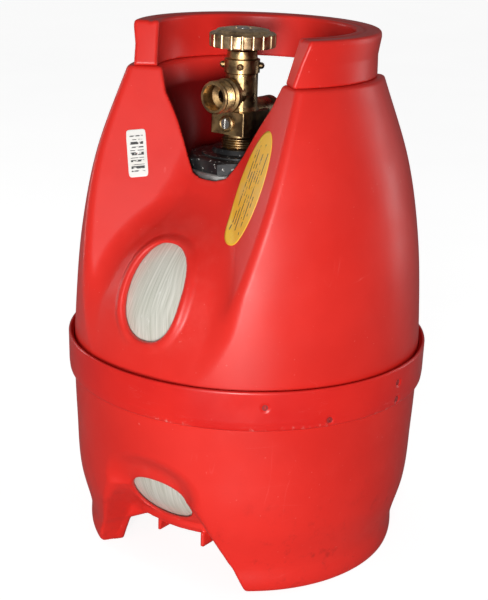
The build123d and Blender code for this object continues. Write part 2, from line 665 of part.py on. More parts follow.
with BuildPart() as bonnet:
    add(turned(VALVE_X, VALVE_Y, bonnet_outline))
    for angle in GRUB_ANGLES:
        turn = radians(angle)
        outward = (sin(turn), -cos(turn), 0)
        place = (VALVE_X + 10 * outward[0], VALVE_Y + 10 * outward[1], GRUB_Z)
        with BuildSketch(Plane(place, z_dir=outward)):
            Circle(GRUB_R + 0.05)
        extrude(amount=8, mode=Mode.SUBTRACT)
bonnet.part.label = "bonnet"
export_step(bonnet.part, "parts/bonnet.step")

with BuildPart() as bonnet_pins:
    for angle in GRUB_ANGLES:
        turn = radians(angle)
        outward = (sin(turn), -cos(turn), 0)
        centre = (VALVE_X, VALVE_Y, GRUB_Z)
        with BuildSketch(Plane(centre, x_dir=outward, z_dir=(cos(turn), sin(turn), 0))):
            with BuildLine():
                Polyline(
                    (10, 0), (10, GRUB_R), (BONNET_R + 0.1, GRUB_R), (BONNET_R + 0.1, GRUB_BALL_R),
                    (BONNET_R + 2.0, GRUB_BALL_R - 0.2), (BONNET_R + 3.2, GRUB_BALL_R - 1.1),
                    (BONNET_R + 3.8, 0), close=True,
                )
            make_face()
        revolve(axis=Axis(centre, outward))
bonnet_pins.part.label = "bonnet_pins"
export_step(bonnet_pins.part, "parts/bonnet_pins.step")

with BuildPart() as spindle_seals:
    for ring_z in SEAL_RING_ZS:
        add(turned(VALVE_X, VALVE_Y, (
            (SPINDLE_R + 0.03, ring_z + 0.1), (SEAL_RING_R - 0.1, ring_z + 0.1),
            (SEAL_RING_R - 0.1, ring_z + SEAL_RING_HEIGHT - 0.1),
            (SPINDLE_R + 0.03, ring_z + SEAL_RING_HEIGHT - 0.1),
        )))
spindle_seals.part.label = "spindle_seals"
export_step(spindle_seals.part, "parts/spindle_seals.step")

TANG = (9.0, 2.4)         # flat driving tongue under the spindle
TANG_BOTTOM_Z = 394.0
WHEEL_SEAT_Z = 427.5      # spindle shoulder that the wheel's hub sits on
SQUARE = 7.0              # spindle's driving square

with BuildPart() as spindle:
    add(turned(VALVE_X, VALVE_Y, (
        (0, FLANGE_Z), (SPINDLE_FLANGE_R, FLANGE_Z), (SPINDLE_FLANGE_R, SHOULDER_STOP_Z - 0.1),
        (SPINDLE_R, SHOULDER_STOP_Z - 0.1), (SPINDLE_R, WHEEL_SEAT_Z), (0, WHEEL_SEAT_Z),
    )))
    with BuildSketch(Plane((VALVE_X, VALVE_Y, WHEEL_SEAT_Z))):
        Rectangle(SQUARE, SQUARE)
    extrude(amount=SPINDLE_TOP_Z - WHEEL_SEAT_Z)
    with BuildSketch(Plane((VALVE_X, VALVE_Y, FLANGE_Z))):
        Rectangle(*TANG)
    extrude(amount=TANG_BOTTOM_Z - FLANGE_Z)
    with BuildSketch(Plane((VALVE_X, VALVE_Y, SPINDLE_TOP_Z))):
        Circle(2.05)
    extrude(amount=-8, mode=Mode.SUBTRACT)
spindle.part.label = "spindle"
export_step(spindle.part, "parts/spindle.step")

PLUG_BOTTOM_Z = 386.0
PLUG_TOP_Z = 399.0
PLUG_SLOT_Z = 389.6
DISC_R = 6.6

with BuildPart() as valve_plug:
    add(turned(VALVE_X, VALVE_Y, (
        (0, PLUG_BOTTOM_Z), (DISC_R + 0.9, PLUG_BOTTOM_Z - 1.2), (PLUG_R, PLUG_BOTTOM_Z - 0.6),
        (PLUG_R, PLUG_TOP_Z), (0, PLUG_TOP_Z),
    )))
    with Locations((VALVE_X, VALVE_Y, PLUG_SLOT_Z)):
        Box(
            TANG[0] + 0.3, TANG[1] + 0.3, 20,
            align=(Align.CENTER, Align.CENTER, Align.MIN), mode=Mode.SUBTRACT,
        )
    with Locations((VALVE_X, VALVE_Y, PLUG_BOTTOM_Z + 0.02)):
        Cylinder(DISC_R + 0.05, 8, align=(Align.CENTER, Align.CENTER, Align.MAX), mode=Mode.SUBTRACT)
valve_plug.part.label = "valve_plug"
export_step(valve_plug.part, "parts/valve_plug.step")

seat_disc = turned(VALVE_X, VALVE_Y, (
    (0, SEAT_Z + 0.05), (DISC_R, SEAT_Z + 0.05), (DISC_R, PLUG_BOTTOM_Z), (0, PLUG_BOTTOM_Z),
))
seat_disc.label = "seat_disc"
export_step(seat_disc, "parts/seat_disc.step")

# ---- handwheel -----------------------------------------------------------
WHEEL_R = 27.0
WHEEL_BOTTOM_Z = 426.5
WHEEL_EDGE_Z = 437.4
WHEEL_TOP_Z = 441.0
WHEEL_FLUTES = 20
FLUTE_R = 1.9

with BuildPart() as handwheel:
    add(turned(VALVE_X, VALVE_Y, (
        (0, WHEEL_SEAT_Z), (9, WHEEL_SEAT_Z), (10, 434), (19, 435), (22.5, 433.5),
        (23, WHEEL_BOTTOM_Z), (WHEEL_R - 0.6, WHEEL_BOTTOM_Z), (WHEEL_R, WHEEL_BOTTOM_Z + 1),
        (WHEEL_R, WHEEL_EDGE_Z - 1), (WHEEL_R - 1.5, WHEEL_EDGE_Z), (22.5, WHEEL_EDGE_Z + 0.6),
        (21, WHEEL_TOP_Z - 1.2), (14, WHEEL_TOP_Z), (7, WHEEL_TOP_Z), (6.4, WHEEL_TOP_Z - 1.8),
        (0, WHEEL_TOP_Z - 1.8),
    )))
    with Locations((VALVE_X, VALVE_Y, WHEEL_EDGE_Z)):
        with PolarLocations(WHEEL_R + 0.9, WHEEL_FLUTES):
            Cylinder(FLUTE_R, 30, mode=Mode.SUBTRACT)
    with BuildSketch(Plane((VALVE_X, VALVE_Y, WHEEL_BOTTOM_Z))):
        Rectangle(SQUARE + 0.04, SQUARE + 0.04)
    extrude(amount=30, mode=Mode.SUBTRACT)
handwheel.part.label = "handwheel"
export_step(handwheel.part, "parts/handwheel.step")

with BuildPart() as wheel_screw:
    add(turned(VALVE_X, VALVE_Y, (
        (0, SPINDLE_TOP_Z - 7.5), (2.0, SPINDLE_TOP_Z - 7.5), (2.0, WHEEL_TOP_Z - 1.75),
        (5.6, WHEEL_TOP_Z - 1.75), (5.2, WHEEL_TOP_Z + 0.1), (4, WHEEL_TOP_Z + 0.5),
        (0, WHEEL_TOP_Z + 0.5),
    )))
    with Locations((VALVE_X, VALVE_Y, WHEEL_TOP_Z + 0.5)):
        Box(14, 1.0, 1.8, mode=Mode.SUBTRACT)
wheel_screw.part.label = "wheel_screw"
export_step(wheel_screw.part, "parts/wheel_screw.step")

# ---- relief valve, towards the back --------------------------------------
RELIEF_R = 11.5
RELIEF_END_REACH = 43.0
RELIEF_SEAT_REACH = 16.0
POPPET_R = 5.4
SPRING_COIL_R = 3.7
SPRING_WIRE_R = 0.55
SPRING_TURNS = 6
ADJUSTER_REACH = 37.0
ADJUSTER_R = 7.0
POPPET_BACK_REACH = 20.0

relief_body = turned_back(RELIEF_Z, (
    (2.6, RELIEF_THREAD_REACH + 0.5), (RELIEF_THREAD_R - 0.05, RELIEF_THREAD_REACH + 0.5),
    (RELIEF_THREAD_R - 0.05, RELIEF_BOSS_REACH), (RELIEF_R, RELIEF_BOSS_REACH),
    (RELIEF_R, 33), (RELIEF_R - 1.2, 33.8), (RELIEF_R - 1.2, 35.4), (RELIEF_R, 36.2),
    (RELIEF_R, RELIEF_END_REACH - 2), (RELIEF_R - 2, RELIEF_END_REACH),
    (ADJUSTER_R, RELIEF_END_REACH), (ADJUSTER_R, ADJUSTER_REACH), (6, ADJUSTER_REACH),
    (6, RELIEF_SEAT_REACH), (2.6, RELIEF_SEAT_REACH),
))
relief_body.label = "relief_body"
export_step(relief_body, "parts/relief_body.step")

relief_seal = turned_back(RELIEF_Z, (
    (0, RELIEF_SEAT_REACH + 0.02), (4.6, RELIEF_SEAT_REACH + 0.02),
    (4.6, RELIEF_SEAT_REACH + 1.2), (0, RELIEF_SEAT_REACH + 1.2),
))
relief_seal.label = "relief_seal"
export_step(relief_seal, "parts/relief_seal.step")

relief_poppet = turned_back(RELIEF_Z, (
    (0, RELIEF_SEAT_REACH + 1.2), (POPPET_R, RELIEF_SEAT_REACH + 1.2),
    (POPPET_R, POPPET_BACK_REACH), (2.2, POPPET_BACK_REACH), (2.2, 30), (0, 30),
))
relief_poppet.label = "relief_poppet"
export_step(relief_poppet, "parts/relief_poppet.step")

spring_length = ADJUSTER_REACH - POPPET_BACK_REACH - 2 * SPRING_WIRE_R - 0.1
spring_start = (VALVE_X, VALVE_Y + POPPET_BACK_REACH + SPRING_WIRE_R + 0.05, RELIEF_Z)
with BuildPart() as relief_spring:
    with BuildLine():
        coil = Helix(
            spring_length / SPRING_TURNS, spring_length, SPRING_COIL_R,
            center=spring_start, direction=(0, 1, 0),
        )
    with BuildSketch(Plane(coil @ 0, z_dir=coil % 0)):
        Circle(SPRING_WIRE_R)
    sweep(path=coil, is_frenet=True)
relief_spring.part.label = "relief_spring"
export_step(relief_spring.part, "parts/relief_spring.step")

relief_adjuster = turned_back(RELIEF_Z, (
    (2.4, ADJUSTER_REACH), (ADJUSTER_R - 0.05, ADJUSTER_REACH),
    (ADJUSTER_R - 0.05, RELIEF_END_REACH - 1), (2.4, RELIEF_END_REACH - 1),
))
relief_adjuster.label = "relief_adjuster"
export_step(relief_adjuster, "parts/relief_adjuster.step")

# ---- labels on the recess flanks -----------------------------------------
LABEL_THICK = 0.3
OVAL_CENTRE = (53.4, -75.7, 329.5)
OVAL_HALF = (46.2, 20.2)
OVAL_TURN = 3.0
BARCODE_CENTRE = (-60.7, -75.8, 339.9)
BARCODE_SIZE = (16.0, 38.8)
BARCODE_TURN = 7.7


def label_plane(side, centre):
    """Flank plane moved to a label's centre, with its y along the flank's rise."""
    flank = facet_plane(side)
    shift = (Vector(*centre) - flank.origin).dot(flank.z_dir)
    origin = Vector(*centre) - flank.z_dir * shift
    return Plane(origin, x_dir=flank.x_dir, z_dir=flank.z_dir)


with BuildPart() as oval_label:
    with BuildSketch(label_plane(1, OVAL_CENTRE)):
        Ellipse(OVAL_HALF[1], OVAL_HALF[0], rotation=OVAL_TURN)
    extrude(amount=LABEL_THICK)
oval_label.part.label = "oval_label"
export_step(oval_label.part, "parts/oval_label.step")

with BuildPart() as barcode_label:
    with BuildSketch(label_plane(-1, BARCODE_CENTRE)):
        RectangleRounded(*BARCODE_SIZE, 1.5, rotation=BARCODE_TURN)
    extrude(amount=LABEL_THICK)
barcode_label.part.label = "barcode_label"
export_step(barcode_label.part, "parts/barcode_label.step")
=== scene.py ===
from math import cos, pi, radians, sin, tau

import bpy
import numpy as np
from mathutils import Matrix, Vector


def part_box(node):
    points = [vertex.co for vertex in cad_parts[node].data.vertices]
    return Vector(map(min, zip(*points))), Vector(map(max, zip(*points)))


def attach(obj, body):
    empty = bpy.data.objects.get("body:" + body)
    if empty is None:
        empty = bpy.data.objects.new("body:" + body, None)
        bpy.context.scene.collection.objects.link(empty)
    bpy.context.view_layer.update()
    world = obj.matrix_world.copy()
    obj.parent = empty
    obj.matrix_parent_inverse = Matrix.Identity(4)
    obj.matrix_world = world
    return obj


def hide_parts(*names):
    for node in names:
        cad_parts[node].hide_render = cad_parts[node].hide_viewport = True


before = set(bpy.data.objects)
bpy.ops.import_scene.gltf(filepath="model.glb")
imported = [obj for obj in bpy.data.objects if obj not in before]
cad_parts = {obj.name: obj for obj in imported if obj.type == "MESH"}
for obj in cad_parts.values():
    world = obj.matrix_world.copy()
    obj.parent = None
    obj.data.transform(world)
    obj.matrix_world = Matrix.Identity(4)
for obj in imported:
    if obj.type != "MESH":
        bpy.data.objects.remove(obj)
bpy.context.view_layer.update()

# Composite gas cylinder: red moulded jacket, glass-wound vessel, brass valve.
# Shapes are worked out in millimetres and turned into metres when a mesh is made.
# +Z up, the recess with the valve's outlet faces -Y.

MM = 0.001


def top_mm(node):
    """Highest point of a CAD node."""
    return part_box(node)[1].z / MM


def bottom_mm(node):
    """Lowest point of a CAD node."""
    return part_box(node)[0].z / MM


# ---- sizes from the frame ------------------------------------------------
SHOULDER_Z = top_mm("upper_shell")
JOINT_Z = top_mm("lower_shell")
BAND_LOW_Z = bottom_mm("joint_band")
BAND_HIGH_Z = top_mm("joint_band")
BAND_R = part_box("joint_band")[1].x / MM
COLLAR_TOP_Z = top_mm("carry_collar")
VESSEL_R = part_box("composite_wrap")[1].x / MM
VESSEL_TOP_Z = top_mm("liner") + 4.0
VESSEL_BOTTOM_Z = bottom_mm("composite_wrap")
SHELL_R = BAND_R - 5.0
FOOT_R = 130.5

# ---- distance field tools ------------------------------------------------
# A field is a function of x, y, z arrays that is negative inside the solid.


def join(a, b, radius):
    """Union of two fields with a hollow fillet of this radius."""
    u = np.maximum(radius - a, 0)
    v = np.maximum(radius - b, 0)
    return np.maximum(radius, np.minimum(a, b)) - np.sqrt(u * u + v * v)


def common(a, b, radius):
    """Intersection of two fields with a rounded edge of this radius."""
    return -join(-a, -b, radius)


def cut(a, b, radius):
    """Field a less field b, with a rounded edge of this radius."""
    return common(a, -b, radius)


def plane_field(x, y, z, point, normal):
    """Distance in front of a plane through a point."""
    px, py, pz = point
    nx, ny, nz = normal
    return (x - px) * nx + (y - py) * ny + (z - pz) * nz


def smooth_curve(points, samples=400):
    """Values of a smooth curve through (z, radius) points, as two arrays."""
    zs = np.array([p[0] for p in points], float)
    rs = np.array([p[1] for p in points], float)
    slopes = np.gradient(rs, zs)
    z = np.linspace(zs[0], zs[-1], samples)
    i = np.clip(np.searchsorted(zs, z) - 1, 0, len(zs) - 2)
    gap = zs[i + 1] - zs[i]
    t = (z - zs[i]) / gap
    start = (2 * t**3 - 3 * t**2 + 1) * rs[i] + (t**3 - 2 * t**2 + t) * gap * slopes[i]
    end = (3 * t**2 - 2 * t**3) * rs[i + 1] + (t**3 - t**2) * gap * slopes[i + 1]
    return z, start + end


BARREL_Z, BARREL_R = smooth_curve((
    (0, FOOT_R), (4, 132.6), (25, 134.2), (62, 143.1), (108, 146.2), (JOINT_Z, SHELL_R),
    (215, 146.2), (275, 141.0), (335, 129.7), (SHOULDER_Z, 104.5),
))
BARREL_LEAN = 1 / np.sqrt(1 + np.gradient(BARREL_R, BARREL_Z) ** 2)
UPPER_DOME_Z = 200.0            # the vessel's domes spring from these heights
LOWER_DOME_Z = 115.0
OPENING_Y = -60.0               # windows and foot gaps are cut outwards from here


def barrel_field(x, y, z):
    """Round outside of the jacket."""
    radius = np.interp(z, BARREL_Z, BARREL_R)
    return (np.hypot(x, y) - radius) * np.interp(z, BARREL_Z, BARREL_LEAN)


def dome_field(x, y, z, radius, centre_z, height):
    """Half ellipsoid above (height > 0) or below its centre, on a straight cylinder."""
    rise = np.maximum((z - centre_z) * np.sign(height), 0)
    reach = np.hypot(x, y)
    near = np.sqrt((reach / radius) ** 2 + (rise / height) ** 2) + 1e-6
    steep = np.sqrt((reach / radius**2) ** 2 + (rise / height**2) ** 2) + 1e-9
    return near * (near - 1) / steep


def oval_field(x, z, centre_z, half_width, half_height, power):
    """Front view outline of a window: negative inside."""
    u = np.abs(x) / half_width
    v = np.abs(z - centre_z) / half_height
    near = (u**power + v**power + 1e-9) ** (1 / power)
    slope_x = (u / near) ** (power - 1) / half_width
    slope_z = (v / near) ** (power - 1) / half_height
    return (near - 1) / np.sqrt(slope_x**2 + slope_z**2 + 1e-9)


def edge_distance(outline, x, z, normal):
    """Outline distance measured along a sloping surface instead of the front view."""
    step = 0.5
    gx = (outline(x + step, z) - outline(x - step, z)) / (2 * step)
    gz = (outline(x, z + step) - outline(x, z - step)) / (2 * step)
    along = gx * normal[0] + gz * normal[2]
    run = np.sqrt(np.maximum(gx**2 + gz**2 - along**2, 0.05))
    return outline(x, z) / run


def dome_normal(x, y, z, radius, centre_z, height):
    """Outward direction of dome_field's surface."""
    rise = np.maximum((z - centre_z) * np.sign(height), 0) * np.sign(height)
    nx, ny, nz = x / radius**2, y / radius**2, rise / height**2
    size = np.sqrt(nx**2 + ny**2 + nz**2) + 1e-9
    return nx / size, ny / size, nz / size


# ---- meshing -------------------------------------------------------------


CUBE = [(i, j, k) for i in (0, 1) for j in (0, 1) for k in (0, 1)]


def net_points(values, cells):
    """A point in each crossed cell: the middle of where the surface cuts the cell's edges."""
    total = np.zeros((len(cells), 3))
    hits = np.zeros(len(cells))
    for axis in range(3):
        for c in (c for c in CUBE if c[axis] == 0):
            far = tuple(v + (a == axis) for a, v in enumerate(c))
            low = values[tuple((cells + c).T)]
            high = values[tuple((cells + far).T)]
            crossed = (low < 0) != (high < 0)
            share = low / np.where(crossed, low - high, 1)
            place = np.tile(np.array(c, float), (len(cells), 1))
            place[:, axis] = share
            total += np.where(crossed[:, None], place, 0)
            hits += crossed
    return cells + total / hits[:, None]


def net_quads(inside, index):
    """A quad across every grid edge that the surface crosses, facing outwards."""
    size = index.shape
    quads = []
    for axis in range(3):
        b, c = [a for a in range(3) if a != axis]
        one = [slice(None)] * 3
        two = [slice(None)] * 3
        one[axis], two[axis] = slice(0, -1), slice(1, None)
        edge = np.argwhere(inside[tuple(one)] != inside[tuple(two)])
        edge = edge[(edge[:, b] > 0) & (edge[:, c] > 0)]
        edge = edge[(edge[:, b] < size[b]) & (edge[:, c] < size[c])]
        ring = []
        for db, dc in ((-1, -1), (0, -1), (0, 0), (-1, 0)):
            cell = edge.copy()
            cell[:, b] += db
            cell[:, c] += dc
            ring.append(index[tuple(cell.T)])
        quad = np.stack(ring, 1)
        outward = inside[tuple(edge.T)] == (axis != 1)
        quads.append(np.where(outward[:, None], quad, quad[:, ::-1]))
    return np.concatenate(quads)


def field_net(values, origin, step):
    """Quad mesh of the zero surface of a grid of field values (surface nets)."""
    inside = values < 0
    size = [n - 1 for n in values.shape]
    count = sum(
        inside[i:i + size[0], j:j + size[1], k:k + size[2]].astype(np.int8) for i, j, k in CUBE
    )
    cells = np.argwhere((count > 0) & (count < len(CUBE)))
    index = np.full(size, -1, np.int32)
    index[tuple(cells.T)] = np.arange(len(cells))
    return net_points(values, cells) * step + origin, net_quads(inside, index)


def gradient(field, points):
    """Slope of a field at each point, from small steps both ways."""
    step = 0.25
    parts = []
    for axis in range(3):
        shift = np.zeros(3)
        shift[axis] = step
        parts.append(field(*(points + shift).T) - field(*(points - shift).T))
    return np.stack(parts, 1) / (2 * step)


def settle(field, points, rounds, limit):
    """Moves points straight onto the zero surface of a field."""
    for _ in range(rounds):
        slope = gradient(field, points)
        size = np.maximum((slope**2).sum(1), 0.2)
        move = -(field(*points.T) / size)[:, None] * slope
        length = np.linalg.norm(move, axis=1)
        points = points + move * np.minimum(1, limit / np.maximum(length, 1e-9))[:, None]
    return points


def mesh_piece(name, points, quads, material, body="tank"):
    """Mesh object from millimetre points, riding on a CAD body."""
    mesh = bpy.data.meshes.new(name)
    mesh.vertices.add(len(points))
    mesh.vertices.foreach_set("co", (np.asarray(points) * MM).astype(np.float32).ravel())
    quads = np.asarray(quads, np.int32)
    corners = quads.shape[1]
    mesh.loops.add(quads.size)
    mesh.loops.foreach_set("vertex_index", quads.ravel())
    mesh.polygons.add(len(quads))
    mesh.polygons.foreach_set("loop_start", np.arange(len(quads), dtype=np.int32) * corners)
    mesh.polygons.foreach_set("use_smooth", np.ones(len(quads), bool))
    mesh.update(calc_edges=True)
    mesh.validate()
    mesh.materials.append(material)
    piece = bpy.data.objects.new(name, mesh)
    bpy.context.scene.collection.objects.link(piece)
    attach(piece, body)
    return piece


def store(piece, name, values):
    """Keeps one number a vertex for the material to read."""
    layer = piece.data.attributes.new(name, "FLOAT", "POINT")
    layer.data.foreach_set("value", np.asarray(values, np.float32))


def sample_half(field, reach, low_z, high_z, step):
    """Field on a grid over the half at +Y, mirrored to the whole."""
    half = (np.arange(int(np.ceil(reach / step))) + 0.5) * step
    side = np.concatenate([-half[::-1], half])
    tall = np.arange(low_z, high_z + step, step)
    x, y, z = np.meshgrid(side, half, tall, indexing="ij")
    values = field(x.astype(np.float32), y.astype(np.float32), z.astype(np.float32))
    values = np.concatenate([values[:, ::-1], values], 1)
    return values, np.array([side[0], side[0], low_z])


def wear_of(field, points, reach):
    """How far out an edge stands: the surface's own bend over a short reach."""
    slope = gradient(field, points)
    steep = np.linalg.norm(slope, axis=1) + 1e-9
    inner = points - slope / steep[:, None] * reach
    return field(*inner.T) / (reach * steep) + 1


# ---- red jacket: shapes --------------------------------------------------
DISH = (139.0, UPPER_DOME_Z, VESSEL_TOP_Z + 4.5 - UPPER_DOME_Z)
FLANK_POINT = (63.0, -49.0, SHOULDER_Z)
FLANK_NORMAL = (-0.487, -0.805, 0.338)
APRON_POINT = (0.0, -59.5, 327.5)
APRON_NORMAL = (0.0, -0.891, 0.454)
SILL_POINT = (0.0, -148.0, 190.0)
SILL_NORMAL = (0.0, -0.81, 0.59)
WELL_LOW = (296.0, 53.3)
WELL_HIGH = (SHOULDER_Z, 76.0)
WELL_WAIST = 4.5                # the well's wall stands in by this much half way up
WELL_WAIST_Z = 358.0
WELL_WAIST_REACH = 30.0
VESSEL_GAP = 0.6
JOINT_GAP = 0.5                 # between either half jacket and the joint's plane
BEAD_R = 3.6                    # raised lip round the upper window
BEAD_OUT = 4.0
BEAD_DEPTH = 0.8
UPPER_WINDOW = (245.0, 27.0, 36.0, 2.3)    # centre height, half sizes, roundness
LOWER_WINDOW = (71.0, 28.5, 20.5, 2.2)


def upper_window_outline(x, z):
    return oval_field(x, z, *UPPER_WINDOW)


def lower_window_outline(x, z):
    return oval_field(x, z, *LOWER_WINDOW)


def vessel_field(x, y, z):
    """Outside of the wound vessel."""
    upper = dome_field(x, y, z, VESSEL_R, UPPER_DOME_Z, VESSEL_TOP_Z - UPPER_DOME_Z)
    lower = dome_field(x, y, z, VESSEL_R, LOWER_DOME_Z, VESSEL_BOTTOM_Z - LOWER_DOME_Z)
    return np.maximum(upper, lower)


def well_radius(z):
    """Radius of the valve well, a cone with a slight waist."""
    cone = np.interp(z, (WELL_LOW[0], WELL_HIGH[0]), (WELL_LOW[1], WELL_HIGH[1]))
    return cone - WELL_WAIST * np.clip(1 - ((z - WELL_WAIST_Z) / WELL_WAIST_REACH) ** 2, 0, 1)


def well_painted_shade(x, y, z):
    """Painted shade in the valve well, darkest in its depth."""
    inside = np.clip(well_radius(z) + 1.2 - np.hypot(x, y), 0, 1)
    depth = np.clip((SHOULDER_Z - 2 - z) / 18, 0, 1)
    return 0.9 * inside * depth


def recess_field(x, y, z):
    """What is left standing behind the recess: flanks, apron, sill and dish."""
    flank = plane_field(x, y, z, FLANK_POINT, FLANK_NORMAL)
    apron = plane_field(x, y, z, APRON_POINT, APRON_NORMAL)
    sill = plane_field(x, y, z, SILL_POINT, SILL_NORMAL)
    ground = join(join(flank, apron, np.interp(z, (270, 320), (12, 5))), sill, 6)
    dish = dome_field(x, y, z, *DISH)
    solid = join(ground, dish, 10)
    normal = dome_normal(x, y, z, *DISH)
    rim = edge_distance(upper_window_outline, x, z, normal)
    bead = np.hypot(rim - BEAD_OUT, dish + BEAD_DEPTH) - BEAD_R
    return join(solid, bead, 3)


def upper_field(x, y, z):
    """Upper half jacket, filled between its skin and the vessel."""
    x, y = np.abs(x), -np.abs(y)
    soft = np.interp(z, (195, 260), (14, 5.5))
    solid = common(barrel_field(x, y, z), recess_field(x, y, z), soft)
    solid = common(solid, z - SHOULDER_Z, 2.5)
    solid = cut(solid, vessel_field(x, y, z) - VESSEL_GAP, 0.8)
    well = np.maximum(np.hypot(x, y) - well_radius(z), WELL_LOW[0] - z)
    solid = cut(solid, well, 2.5)
    opening = np.maximum(upper_window_outline(x, z), y - OPENING_Y)
    solid = cut(solid, opening, 1.2)
    return np.maximum(solid, JOINT_Z + JOINT_GAP - z)


LOWER_TURN = radians(4.25)
ARCH_TOP_Z = 110.0
ARCH_FACE_Y = -100.0
ARCH_SHOULDER_X = 27.5
ARCH_SHOULDER_Z = 78.0
ARCH_FOOT_HALF = 67.6
LOWER_DISH = (138.6, LOWER_DOME_Z, VESSEL_BOTTOM_Z - 4.1 - LOWER_DOME_Z)
FOOT_INNER_R = 108.0
WEB_INNER_R = 97.0              # the wall runs further in above the feet
WEB_Z = 44.0
FOOT_HOLLOW_TOP_Z = 60.0
DRAIN_R = 62.0
GAP_TOP_Z = 42.0
GAP_TOP_HALF = 21.7
GAP_SHOULDER_Z = 26.0
BAR_R = 112.0
BAR_Z = (43.0, 51.0)
BAR_INNER_R = 96.0
STEP_R = 106.5                  # lower, set back part of the bar, between the ribs
STEP_Z = (38.0, 45.0)
STEP_INNER_R = 98.0
BAR_XS = (-24.0, 56.0)
RIB_XS = (-7.0, 39.0)
RIB_HALF = 1.5
RIB_Y = (-107.0, -90.0)
RIB_Z = (29.5, 42.5)
PAN_GAP = 0.5


def band_field(value, low_high):
    """Distance from a slab between two values, negative inside."""
    low, high = low_high
    return np.abs(value - (low + high) / 2) - (high - low) / 2


def slope_field(side, z, low, high):
    """Distance from the line through two (half width, height) points, negative inside."""
    across, up = high[0] - low[0], high[1] - low[1]
    length = np.hypot(across, up)
    return ((side - low[0]) * up - (z - low[1]) * across) / length


def arch_spread(y):
    """How far the arch's sides have opened out at this depth, 1 at its face."""
    return np.clip(y / ARCH_FACE_Y, 0.3, 1.6)


def arch_sides(side, z):
    return slope_field(side, z, (ARCH_FOOT_HALF, 0), (ARCH_SHOULDER_X, ARCH_SHOULDER_Z))


def arch_field(side, y, z):
    """What is left standing behind the arch scoop, whose sides open out along the radius."""
    spread = arch_spread(y)
    near = side / spread
    crown_high = ARCH_TOP_Z - ARCH_SHOULDER_Z
    crown_r = (ARCH_SHOULDER_X**2 + crown_high**2) / (2 * crown_high)
    crown = np.hypot(near, z - ARCH_TOP_Z + crown_r) - crown_r
    arch = np.where(z > ARCH_SHOULDER_Z, crown, arch_sides(near, z)) * np.minimum(spread, 1.3)
    corner = np.interp(z, (20, 45, 100), (0.5, 4.0, 14.0))
    scoop = common(arch, y - ARCH_FACE_Y, corner)
    dish = dome_field(side, y, z, *LOWER_DISH)
    return join(-scoop, dish, np.interp(z, (30, 70), (4, 14)))


def foot_gap_field(side, y, z):
    """The way in under the vessel, between the feet."""
    near = side / arch_spread(y)
    narrowing = (ARCH_SHOULDER_X - ARCH_FOOT_HALF) / ARCH_SHOULDER_Z
    side_half = ARCH_FOOT_HALF + GAP_SHOULDER_Z * narrowing
    shoulder = slope_field(near, z, (side_half, GAP_SHOULDER_Z), (GAP_TOP_HALF, GAP_TOP_Z))
    gap = common(common(arch_sides(near, z), shoulder, 2), z - GAP_TOP_Z, 2)
    return np.maximum(gap, y - OPENING_Y)


def bar_field(x, y, z):
    """Stepped bar under the lower window, with the two ribs that hang from it."""
    reach = np.hypot(x, y)
    bar = common(common(reach - BAR_R, band_field(z, BAR_Z), 1.2), BAR_INNER_R - reach, 1)
    bar = np.maximum(bar, band_field(x, BAR_XS))
    step = common(common(reach - STEP_R, band_field(z, STEP_Z), 1), STEP_INNER_R - reach, 1)
    step = np.maximum(step, band_field(x, RIB_XS))
    solid = np.minimum(bar, step)
    for rib_x in RIB_XS:
        rib = np.maximum(np.abs(x - rib_x) - RIB_HALF, band_field(z, RIB_Z))
        solid = np.minimum(solid, np.maximum(rib, band_field(y, RIB_Y)))
    return np.maximum(solid, y - OPENING_Y)


def lower_field(x, y, z):
    """Lower half jacket with its two feet, filled between its skin and the vessel."""
    y = -np.abs(y)
    side = np.abs(x * cos(LOWER_TURN) + y * sin(LOWER_TURN))
    ahead = y * cos(LOWER_TURN) - x * sin(LOWER_TURN)
    soft = np.interp(z, (40, 100), (2.5, 12))
    solid = common(barrel_field(x, y, z), arch_field(side, ahead, z), soft)
    solid = common(solid, -z, 4.5)
    dish = dome_field(x, y, z, *LOWER_DISH)
    inner_r = np.interp(
        z, (0, GAP_SHOULDER_Z, WEB_Z), (FOOT_INNER_R + 3, FOOT_INNER_R, WEB_INNER_R)
    )
    inner = np.maximum(np.hypot(x, y) - inner_r, z - FOOT_HOLLOW_TOP_Z)
    solid = cut(solid, cut(inner, dish, 1), 2)
    solid = cut(solid, cut(foot_gap_field(side, ahead, z), dish, 1), 3)
    solid = join(solid, bar_field(x, y, z), 0.6)
    solid = cut(solid, vessel_field(x, y, z) - PAN_GAP, 0.8)
    opening = np.maximum(lower_window_outline(side, z), ahead - OPENING_Y)
    solid = cut(solid, opening, 1.2)
    solid = cut(solid, np.hypot(x, y) - DRAIN_R, 1.5)
    return np.maximum(solid, z - JOINT_Z + JOINT_GAP)


COLLAR_R = 99.0
COLLAR_INNER_R = 80.0
COLLAR_BEAD_R = 100.8
COLLAR_NECK_R = 98.6            # outside just under the bead at the rim
COLLAR_BEAD_Z = (424.0, 433.0, 438.0)      # the bead's foot, swell and full width
COLLAR_STEP = 1.2               # grid spacing of the collar's mesh
COLLAR_MARGIN = 3.0
GROOVE_R = 87.0                 # shallow groove along the top of the rim
GROOVE_SIZE = 2.6
GROOVE_LIFT = 1.6
GAP_ANGLES = (52.3, 59.7)       # half of the front gap, at the collar's foot and rim


